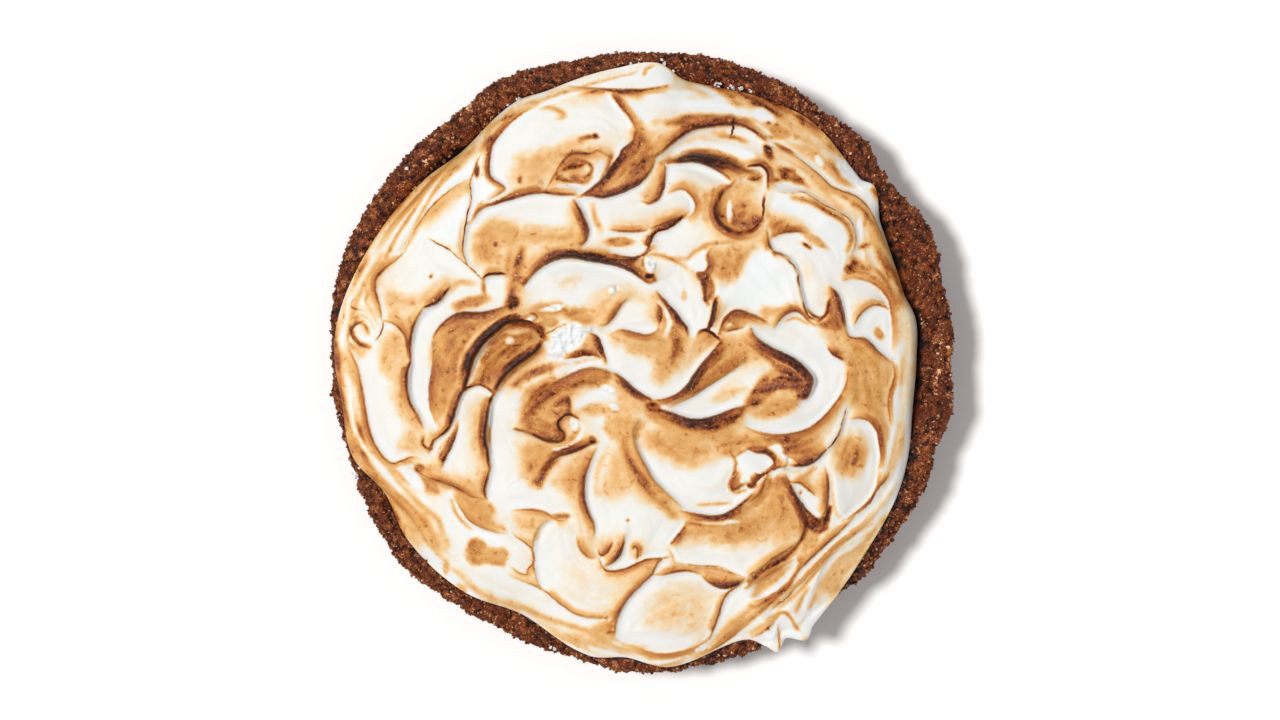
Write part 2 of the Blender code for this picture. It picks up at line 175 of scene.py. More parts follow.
# Torn foam: centre, half axes, turn of the first axis.
TORN = (
    ((-29, 8), (9.5, 5), 35), ((-33.5, 20.5), (3.2, 1.2), 12), ((3, 37), (2.2, 3.2), 20),
    ((-26, -24), (1.6, 3), 10), ((78, 76), (2.5, 3), 0), ((86, 68.5), (4, 2), -20),
    ((54, -38), (2.5, 3), 0), ((-11, 27.5), (2.6, 1.5), 20), ((-13, -11), (2.2, 1.2), 0),
    ((-10.5, -17.5), (1.8, 1), -30), ((-43, 16.3), (1.5, .8), 20),
)

# Crust, looks
SECTORS = 900
RING_STEP = 0.7          # mm between the crust's rings of points
GIRTH = 2 * math.pi * 118  # mm round the wall
FOOT_FOLLOWS = 0.25      # how far the foot follows the rim's uneven outline
WALL_END = (1.2, 2.2)    # mm outside the flat underside, and height, where the wall turns under
LUMPS = ((14, 0.7), (5, 0.45))  # length and height in mm of the wall's uneven places
PRESSED_SHARE = 0.30     # crumbs pressed into the wall, for each of its points
PRESSED_SIZES = (0.8, 1.35)  # half sizes in mm of those crumbs
COMMON_SHARE = 0.93      # share of them that has such a size; the rest is larger
PRESSED_DEPTH = 0.9      # mm that they are sunk into the wall
PRESSED_LIFTS = (-0.35, 0.45)  # mm that they are raised, least and most
PRESSED_ROUND = 0.75     # height of a crumb's cap, for each mm of its half size
PRESSED_TONES = (0.52, 0.16)  # mean and spread of the tones that they have
BETWEEN_TONE = 0.25      # of what lies between them
LOOSE_TONES = (0.53, 0.17)  # mean and spread, for the loose crumbs
PRESSED_SIDE = 130.0     # azimuth where the rim was pressed smoothest
PRESSED_FADE = (25, 60)  # degrees from there, between which that ends
PRESSED_FLAT = (0.5, 0.6)  # how far the crumbs stand out there, and how much more elsewhere
CAVITY_SHADE = 0.3        # painted shade: how much darker the crumbs are deep between the others
HOLLOW_SHADE = 0.55       # painted shadow: how much darker they are in the hollow beside the meringue
HOLLOW_SHADE_HEIGHTS = (28, 31)  # heights in mm, between which that painted shadow sets in
ROUGH_FROM = (3, 9)      # mm down the crust's section, between which its crumbs set in
GRAIN_CORNERS = (0.65, 1.2)  # reach of a loose crumb's corners, for each mm of its half size
GRAIN_STRETCH = (0.6, 1.25)  # and its stretch along each of its axes, least and most
LEAST_HEIGHT = 0.05      # mm above the floor, of the crumbs' corners
STRIP_GAP = 0.004        # between the wall's three strips in the baked picture
STRIP_HEIGHT = 0.30      # of each of them
FLAT_RADIUS = 0.045      # of its two flat faces there
FLAT_MIDDLES = ((0.06, 0.95), (0.18, 0.95))
# Loose crumbs on the crust: piece, mm down the section where they start, how many, and their
# smallest and largest half size.
LOOSE_ON_RIM = ("crumbs_on_rim", 7.0, 9900, (0.38, 0.85))
LOOSE_ON_WALL = ("crumbs_on_wall", 25.0, 9000, (0.45, 1.1))
LOOSE_RIM_END = 27.0     # mm down the section where those on the rim end
BARE_FOOT = 6            # rings at the foot that have none
# Bits of meringue on the crust: centre, spread, number of lumps.
FLECKS = (
    ((-5, 115.3), .8, 5), ((-1.5, 114.8), .7, 4), ((8.5, 115.5), .7, 5), ((12, 112.5), .5, 3),
    ((30, 107.8), .8, 6), ((34.5, 107.2), .8, 6), ((38.5, 106.2), .5, 4), ((-48.5, 101.7), .9, 6),
    ((-51.5, 99.6), .5, 3), ((-111, -44), .8, 6), ((-110, -41.5), .4, 2), ((-35, -111), .6, 4),
    ((-91, 75), .4, 3), ((71, -75.5), .4, 2), ((-20, 110.5), .4, 2), ((42, 105), .4, 2),
)

# Every line that a spoon or an edge left in the meringue, in mm: step (relief strength), toast
# on its left and on its right (-1 leaves the toast alone), ink (how dark the scorched line
# itself is), ink width, then points along the line. The crest stands on the left of the line.
FOLDS = (
    # upper left: the big billow, its neighbours and the rim sweeps
    (4, .30, .05, 1.0, .9, (-63, 33.5), (-66, 36.5), (-68, 40), (-68.7, 45), (-67, 56), (-65.5, 63),
     (-66, 69), (-64.5, 74), (-62, 80)),
    (5, .60, .03, .60, 1.0, (-59, 62), (-54, 65), (-53, 67.5), (-58.5, 72), (-58.5, 80), (-57, 85),
     (-50, 93), (-40, 99.5)),
    (3, .32, .05, .60, .8, (-66, 71.5), (-75, 66), (-82, 59.5), (-88, 51), (-93, 41)),
    (2.5, .45, .50, .20, .9, (-62, 87.5), (-72, 80), (-82, 70), (-90, 61), (-98, 52), (-104, 42)),
    (4, .20, .05, 1.1, 1.0, (-82.5, 47), (-75, 43), (-72, 40.5), (-66, 35.5), (-61.5, 31)),
    (6, .55, .03, .85, 1.6, (-66, 53), (-62, 58.5), (-55, 61), (-50, 62.5), (-40, 64.8), (-33, 64),
     (-24, 63.5)),
    (4, .50, .40, .90, 1.3, (-12, 79), (-17, 81.5), (-20, 80.5), (-27, 80.3), (-31, 77), (-34, 72),
     (-37, 67)),
    (2, .60, .50, .70, 1.0, (-32, 74.5), (-29, 74), (-26, 75), (-21.5, 75.5)),
    (2, .60, .45, .60, 1.0, (-29, 71), (-26, 70), (-23, 69)),
    (3, .45, .05, .60, .9, (-12.5, 103.5), (-9, 99), (-5, 94), (-3, 90)),
    (6, .80, .03, .90, 1.3, (-3, 88), (-4, 85), (-8, 81.5), (-9, 79), (-12, 75), (-15, 71),
     (-20, 66.5), (-25, 63.5)),
    (6, .75, .03, .80, 1.2, (-25, 63.3), (-20, 63.5), (-15, 62.8), (-10, 64), (-5, 66), (0, 69),
     (4, 74), (5, 77)),
    (6, .68, .05, .80, 1.4, (-23, 44), (-21, 47), (-20.5, 51), (-22.5, 56), (-24.5, 60),
     (-26, 62.5)),
    # top: the long curved billows and the bowl beside them
    (3, .50, .10, .40, 1.0, (12, 107.5), (0, 105.3), (-14, 105.5), (-30, 107)),
    (7, .72, .15, .95, 1.2, (5, 78), (8, 80.5), (12, 84), (16, 87), (20, 89.3), (26, 90.5),
     (33, 91.3), (38, 91), (43, 88.5), (47, 85)),
    (0, -1, -1, 2.0, 1.1, (35, 93.5), (35, 90), (34, 87)),
    (5, .85, .75, .90, 2.2, (44, 73), (40, 74), (34, 77), (28, 79), (22, 80), (17, 79.5),
     (12, 77.5), (7, 76.5)),
    (7, .80, .03, .80, 1.2, (9, 76), (14, 76.3), (20, 76.8), (26, 74.8), (31, 72), (33.5, 69.5)),
    (4, .65, .05, .60, 1.0, (0, 61), (3, 60.5), (6.5, 62.5), (8.5, 67), (9, 72), (9.3, 76.5)),
    (3, .50, .03, .40, .9, (10, 64.5), (15, 66.3), (18.5, 64), (20.5, 60.5), (19.5, 57), (16, 55)),
    (3, .45, .08, .50, 1.0, (-13, 50.5), (-6, 49.8), (0, 50), (3, 50.7)),
    (3, .50, .65, .70, 1.0, (3, 50.7), (6, 51.8), (10, 53.5), (14, 55), (18, 57.5)),
    (5, .75, .03, .80, 1.2, (-1, 40), (2.5, 42.5), (3.5, 46), (5.5, 49.5), (10, 51), (14, 53.5),
     (18, 56.5)),
    (5, .60, .55, 1.2, 2.3, (45.5, 54), (42, 50.8), (38, 49.7), (34, 50.8), (30, 54), (28.8, 59),
     (31, 64.5), (36, 69)),
    (4, .65, .15, 1.3, 1.2, (40, 74.5), (43, 75.2), (46, 75), (48, 72.5), (48, 68), (48, 66.5)),
    (1, .60, .40, .70, .9, (40, 70.5), (44, 70), (46.5, 71.5)),
    (1, -1, -1, 2.0, 1.3, (47.3, 64.5), (46.5, 62), (46.5, 57.5), (45.5, 54), (43, 51.5),
     (40, 50)),
    # right: the petals that open towards the rim
    (4, .38, .10, .45, .9, (98, 41), (95, 46), (91, 54), (88, 59.5), (84, 63.5), (80, 65.5),
     (74, 67.5), (70, 71), (66, 74.5), (60, 79), (55, 81), (50, 83.5)),
    (6, .15, .20, .85, 1.3, (81.5, 41), (83, 45), (83, 49), (82, 52.5), (80, 55.5), (75, 58.5),
     (70, 61), (66, 63.5), (62, 65.8), (57, 65.5), (52, 66.3)),
    (3, .60, .05, .40, 1.0, (50, 47.5), (54, 49.5), (60, 50), (64, 49)),
    (4, .55, .05, .70, 1.0, (57, 40), (54, 41.5), (50.5, 43), (49, 46), (48.5, 50)),
    (6, .08, .03, .95, 1.5, (71.5, 24), (71, 20), (69, 17), (67, 16.3), (64, 18.5), (62, 24),
     (60.8, 29), (60, 35), (57, 39), (53, 42), (50, 43.3)),
    (5, .70, .05, .30, 1.0, (79, 12), (78.3, 16), (77.3, 21), (75.5, 26), (72.5, 29.3)),
    (5, .55, .03, .80, 1.0, (96.5, 0), (94, 2), (91.5, 3.8), (88.5, 7), (86, 9), (82.5, 9.3),
     (79.8, 10), (78.8, 13)),
    (3, .50, .05, .30, 1.0, (78, 31), (81, 32), (86, 31.3), (91, 29), (95, 24.5), (96, 20),
     (97, 12), (96.5, 4)),
    (4, .40, .03, .75, 1.0, (82, 14), (84, 17.5), (86.5, 20), (89.5, 21.5), (93, 21),
     (95.5, 19.5)),
    (2, .50, .35, .50, .9, (96, 1), (97.5, -4), (97, -8), (95.5, -12), (95, -18), (96, -25)),
    (4, .55, .03, .55, 1.0, (79, -3), (78.5, -8), (76.5, -12.5), (73.5, -17), (70, -21), (65, -25),
     (60, -27), (52, -28), (45, -27), (40, -25)),
    (8, .80, .03, .60, 3.0, (60, -15), (63.5, -14), (65.3, -10), (65.8, -6.5), (63, -2.5), (59, 1),
     (54, 3.5), (49, 6), (44, 9.5), (42, 13)),
    (3, .55, .10, .50, 1.0, (51, 13), (54, 17), (58, 19.3), (61, 18.5), (64, 15.5), (66, 13.5)),
    (3, .60, .03, .75, 1.0, (71, 6), (73, 3), (76, 1), (78, 0)),
    (5, .65, .03, .30, 1.0, (80.5, -22.5), (84, -22), (88, -23.5), (90.5, -27), (91.5, -32),
     (92, -37), (91, -42)),
    (5, .70, .10, 1.3, 1.2, (57, -40.3), (62, -40.3), (66, -39), (69, -36.5), (71.5, -34)),
    (4, .10, .10, 1.6, 1.1, (71.5, -34), (74, -31.5), (76.5, -27), (78, -22), (79, -18.5)),
    (3, .65, .10, .60, 1.2, (40, -33.5), (44, -35), (48, -35.5), (50.5, -38), (50, -40),
     (47, -42)),
    # left: the crescent, the finger-shaped lobes and the outer sweep
    (0, -1, -1, .70, 1.4, (-104.5, 6), (-106, 5.5), (-109, 6.5), (-111.5, 8.5), (-112.5, 11),
     (-111.5, 13.5), (-108, 15.5), (-105, 15), (-103.5, 12.5)),
    (0, -1, -1, .80, 1.2, (-111.5, 24.5), (-113, 22.5), (-112, 20.5), (-109, 20)),
    (5, .50, .05, .50, 1.0, (-85, -37), (-89, -36.5), (-92.5, -37.8), (-96, -39), (-99, -37.5),
     (-102.5, -33), (-105, -27), (-106.5, -20), (-108.5, -8), (-110, -2), (-111.5, 1.5),
     (-113, 5), (-113.5, 9)),
    (4, .50, .20, .55, 1.0, (-100, 15.5), (-100.5, 18), (-101.5, 23), (-103, 28), (-102.5, 32),
     (-99, 36), (-95, 39), (-91, 42.5)),
    (0, -1, -1, .85, 1.0, (-100, 16), (-100.3, 13), (-101.5, 10), (-103.3, 8)),
    (3, .50, .30, .75, 1.0, (-100, 15.8), (-97.5, 15), (-95, 13.8), (-93, 12), (-91.3, 9),
     (-90.8, 5), (-90.5, 0)),
    (7, .57, .03, .90, 1.2, (-84, -25), (-86.5, -20), (-89, -15.5), (-90.3, -10), (-90, -4),
     (-89, 0), (-89, 6), (-88, 12), (-86, 17), (-84, 20)),
    (6, .65, .03, 1.5, 1.3, (-84, 20.2), (-81.5, 21.3), (-79.5, 22), (-77.5, 23.5), (-76, 25.5),
     (-74, 28)),
    (5, .45, .03, 1.6, 1.3, (-61, 31.5), (-59, 33), (-56, 33.3), (-52.5, 33.2)),
    (5, .70, .15, .90, 1.2, (-51, 22.3), (-56, 20.3), (-62, 19), (-70, 18.8), (-75, 16.5),
     (-79, 12.5), (-81, 9)),
    (4, .60, .10, .00, 1.0, (-81, 9), (-80.5, 0), (-82, -10), (-81.5, -18), (-79, -25)),
    (8, .85, .10, 2.0, 2.0, (-67.7, -10), (-66, -5), (-65, -1), (-63.3, 3), (-60, 7.5), (-56, 11),
     (-52, 14), (-48, 15), (-43, 14.5), (-39, 12), (-38, 9)),
    (0, -1, -1, .80, 1.0, (-45, 17.5), (-42, 18.3), (-40.5, 17), (-41.5, 15.5)),
    (8, .70, .03, 1.5, 1.4, (-58, -41), (-58.8, -35), (-59.8, -29), (-59.3, -23), (-58.3, -17),
     (-56, -11.5)),
    (8, .80, .55, 2.0, 2.1, (-56, -11.5), (-53, -6.5), (-49, -2.5), (-44, 1), (-40, 4),
     (-37.5, 8)),
    (6, .60, .10, 1.5, 1.3, (-81.5, -35), (-79.5, -30.5), (-75, -27), (-72.5, -22.5), (-71, -17),
     (-69, -12.5), (-67.5, -11), (-65.5, -10), (-63, -9.3), (-60, -10.5), (-57, -13.3)),
    (4, .65, .05, .50, 1.0, (-77, -41), (-75.5, -37), (-73, -32), (-71.3, -27), (-70.5, -23)),
    # middle: the long ridge, the fan and the hooks round them
    (7, .85, .03, .85, 1.8, (-45, 29), (-42, 33), (-38, 36.5), (-33, 39), (-27, 39.8), (-20, 38.5),
     (-14, 37.5), (-8, 36), (-3, 33.5), (0, 31.3), (3, 29.7), (5, 30.8)),
    (4, .75, .10, .50, 1.0, (4, 45), (2, 42.5), (-1, 40.8), (-5, 40), (-12, 41.5)),
    (4, .55, .10, .40, 1.0, (-16, 13.3), (-13, 14.5), (-11, 17), (-9, 20), (-7, 22.5), (-5, 24)),
    (3, .65, .15, .30, 1.0, (6.5, 13), (7.5, 17), (7.5, 20), (6, 22.5)),
    (4, .55, .03, .20, 1.0, (7, 14.5), (5, 11.5), (2, 10.4), (-3, 11.2), (-8, 12.3), (-12, 10.7)),
    (0, -1, -1, .85, 1.0, (-38, 10.5), (-35, 11.5), (-32, 13.3), (-29, 14.5)),
    (4, .75, .03, .60, 1.0, (-13.3, -.5), (-14.5, 3), (-15.8, 7), (-17.5, 10), (-20.5, 11.2)),
    (2, .70, .10, .60, 1.0, (-30, 1), (-26, 1.7), (-22, 2.5), (-18, 2.3), (-15.5, 1)),
    (6, .60, .03, .15, 1.0, (-11, -4.3), (-16, -2.6), (-22, -2.6), (-29, -5.5), (-35, -8.8),
     (-40, -12.5), (-44, -18)),
    (5, .75, .03, .75, 1.4, (5, -14.8), (1, -13), (-3, -10.3), (-7, -6.7), (-10.5, -4)),
    (5, .66, .35, 1.8, 1.4, (-49, -26.5), (-46, -27), (-43, -28), (-40, -29.5), (-36, -31),
     (-32.5, -31.2), (-30, -30), (-29.7, -27.5), (-31.5, -25), (-31.5, -23), (-29, -20.8),
     (-27, -21), (-25, -22.3)),
    (0, -1, -1, .80, 1.0, (-34, -19.3), (-32.5, -20.3), (-31.3, -19.3)),
    (4, .66, .30, .90, 2.4, (-38, -41), (-35, -38.5), (-32, -36.5), (-28, -35.3), (-24, -34),
     (-20, -32), (-17, -31.5)),
    (5, .75, .10, .75, 1.2, (18, 10), (17.5, 13), (15.5, 15.5), (13, 19), (10.5, 21.5), (8, 24.5),
     (6, 27)),
    (7, .76, .03, .50, 2.0, (30, 8), (26.5, 3.5), (23, -.5), (20, -4.5), (17, -9), (13, -12.5),
     (8, -14.3), (4, -14.5)),
    (3, .50, .05, .00, 1.0, (10, -18), (14, -16), (20, -13), (26, -9), (34, -4), (40, 0)),
    (7, .80, .03, .25, 2.2, (41, -16.5), (35, -18), (30, -20), (24, -21.8), (18, -21.8),
     (12, -19.8), (8, -18.5), (3, -18)),
    (4, .40, .15, 2.2, 2.0, (28.5, 25), (27.5, 22), (27, 18), (26, 15), (25, 12.2)),
    (2, .55, .03, 2.0, 1.3, (30, 8.7), (27.5, 10.8), (25, 12.2), (22.5, 12), (21, 10)),
    (2, .60, .40, .60, 1.0, (26.5, 44), (25, 41), (25.7, 37), (24, 34.5), (21, 34), (22, 31)),
    (4, .65, .20, .80, 1.2, (48, 15.5), (44, 17.5), (40, 19), (37, 19.8), (34, 19), (31.5, 16.5),
     (30, 13), (29, 10)),
    (1, .45, .15, .55, .9, (30.5, 11.5), (34, 11.8), (38, 13), (40, 13.5)),
    # lower left
    (4, .55, -1, .75, 1.0, (-88, -42), (-85, -44), (-82, -45.5), (-78, -46.5), (-74, -48),
     (-70, -49.8), (-66, -52), (-62.5, -53), (-59.5, -53.5)),
    (4, .55, .03, .85, 1.0, (-59.3, -53.5), (-60.3, -50), (-59.3, -45), (-57.8, -40)),
    (3, .45, .03, .20, 1.0, (-73.5, -50), (-71, -55), (-67, -61), (-62, -64), (-56, -66),
     (-53, -66.5)),
    (2.5, .45, .45, .15, 1.0, (-111, -40), (-104, -46.5), (-97, -53), (-90, -60), (-86, -66),
     (-82, -73)),
    (3, .40, .05, .50, 1.0, (-28, -60), (-31, -61), (-34, -60), (-37, -58), (-42, -56.8),
     (-50, -57)),
    (1, .35, .15, .70, .8, (-50, -66), (-48, -68), (-45, -70), (-43, -72), (-42, -75),
     (-42.3, -78), (-44, -80), (-45, -82), (-48, -81), (-50.5, -79)),
    (3, .36, .05, .40, 1.0, (-52, -82.5), (-46, -85), (-40, -87.5), (-35, -91), (-30, -95),
     (-25, -98), (-18, -99.3), (-13, -99)),
    # bottom: the round scoops, the curl and the sweeps that end in the tips
    (4, .30, .03, .30, 1.0, (-36, -91), (-39.5, -86), (-41.3, -80), (-41.7, -73), (-41, -67),
     (-38, -62.5), (-34, -61)),
    (2, .45, .20, .40, 1.0, (-25.5, -67), (-24, -72), (-21, -75.2), (-17.5, -76)),
    (1, .55, .30, .80, .9, (-17, -72.5), (-16, -74.5), (-13.5, -73.5), (-12, -71), (-11, -69)),
    (4, .65, .10, .50, 1.0, (-15, -79.5), (-10, -76.5), (-7.5, -72.5), (-6.5, -67)),
    (4, .50, .03, .80, 1.0, (11, -74.8), (6, -75.6), (1, -76.2), (-3, -78), (-8, -80),
     (-13, -80.3), (-15.5, -78), (-16, -76)),
    (1, .50, .40, .75, .9, (-3.8, -73), (-3, -71.5), (-1.8, -72), (-2, -75), (-2.5, -76.5)),
    (5, .50, .03, .60, 1.0, (-10.3, -107), (-9.7, -101), (-7.5, -95), (-4, -90), (.5, -85.5),
     (4, -82), (6.5, -77.5), (10.5, -75)),
    (4, .50, .03, .65, 1.0, (5, -82.5), (9, -82), (14, -81), (19, -81), (23, -82.5)),
    (4, .75, .05, .60, 1.1, (23, -83), (26, -85.5), (30, -87.3), (34, -87.3), (38, -85.5),
     (40, -83.5)),
    (2, .10, .40, .60, 1.0, (10, -70.5), (12, -75), (14, -77.7), (20, -78.7), (27, -79), (32, -80),
     (38, -83), (42, -84)),
    (4, .40, .05, .65, 1.0, (22, -110.5), (26, -108), (28, -103.5), (29.8, -98), (31.5, -92.5),
     (33.5, -89.5), (38, -86.3), (41, -84.5)),
    (3, .50, .10, .15, 1.0, (27, -105), (23, -109), (17, -111.7), (10, -113), (4, -112.8),
     (-2, -110.5), (-8, -108.8)),
    (2.5, .45, .20, .25, 1.0, (18, -116), (25, -113), (32, -109), (38, -104), (45, -98)),
    (5, .62, .03, .35, 1.0, (-18, -67), (-18.3, -62.5), (-20.5, -57.5), (-22, -52), (-21.8, -45),
     (-20, -39), (-17, -33)),
    (6, .40, .03, .15, 1.0, (15.5, -55.5), (12, -52.5), (8, -49), (4, -44.5), (1, -39), (-2, -33),
     (-3, -27), (-1, -23)),
    (6, .72, .05, .60, 1.2, (43, -50), (38, -54.3), (33, -57.8), (28, -59.3), (21, -58.5),
     (15, -57)),
    (3, .60, .05, .40, 1.0, (17, -62), (15, -65), (12.5, -68), (10.3, -70.7)),
    (2, .60, .20, .60, 1.4, (37, -41.5), (35.5, -44), (34, -47), (35, -49.5), (38, -48),
     (40, -47)),
    (3, .65, .15, .70, 2.0, (40, -47), (42, -48.5), (44, -46), (48, -43), (52, -41), (56, -40)),
    (3, .50, .10, .40, 1.0, (40, -55), (43, -53), (46, -50), (47.5, -46), (50, -42)),
    # lower right
    (5, .70, .65, .90, 1.7, (61, -69), (63, -65), (63.3, -61), (62, -57), (60, -53), (57, -49),
     (55, -45)),
    (5, .35, .50, .90, 1.7, (40, -84.5), (43, -82), (47, -79), (52, -75.5), (57, -72), (61, -69)),
    (6, .80, .03, .85, 1.3, (68.5, -60.8), (65, -58.5), (61.5, -54.5), (58.5, -50), (56, -44)),
    (4, .55, .10, .90, 1.3, (69.5, -60.5), (71.5, -56), (72, -50), (71.8, -45), (71, -41)),
    (2, .45, .05, .60, 1.0, (57, -46.5), (61, -47), (64, -49.5), (67, -52)),
    (3, .50, .03, .00, 1.0, (40, -88), (44, -85), (50, -81.5), (55, -78.5), (59, -76.5)),
    (3, .50, .10, .00, 1.0, (60.5, -78.5), (58, -83.5), (53, -88), (47, -91.5), (41, -93)),
    (2, .10, .25, .20, 1.0, (72.5, -41), (73.5, -48), (74.5, -55), (76, -59), (79, -60.5)),
    (5, .55, .10, .30, 1.0, (91.3, -42), (90.5, -48), (88, -53), (84, -56.8), (80, -59.8),
     (77, -61)),
    (4, .45, .03, .85, 1.1, (58, -84), (63, -78.5), (67, -74.5), (72, -70), (77, -65.5),
     (83, -59.5)),
    (4, .60, .05, .40, 1.0, (83, -59.5), (88, -55), (91, -50), (95, -45), (96, -42)),
    (3, .45, .10, .00, 1.4, (52, -95), (58, -89), (64, -83), (70, -77), (76, -71), (82, -67),
     (88, -62), (93, -57)),
    (3, .10, .50, .25, 1.0, (64, -97), (65, -92), (68, -85), (70, -80), (74, -75), (80, -71),
     (86, -67)),
    (2, .12, .05, .35, .8, (53.2, -112.5), (53.3, -109), (52.8, -105), (53.2, -100)),
    (2, .30, .08, .30, .9, (42, -108), (47, -105), (50, -102), (53.5, -98.5)),
    (2, .50, .20, .50, 1.0, (50, -96), (55, -92), (60, -87)),
)
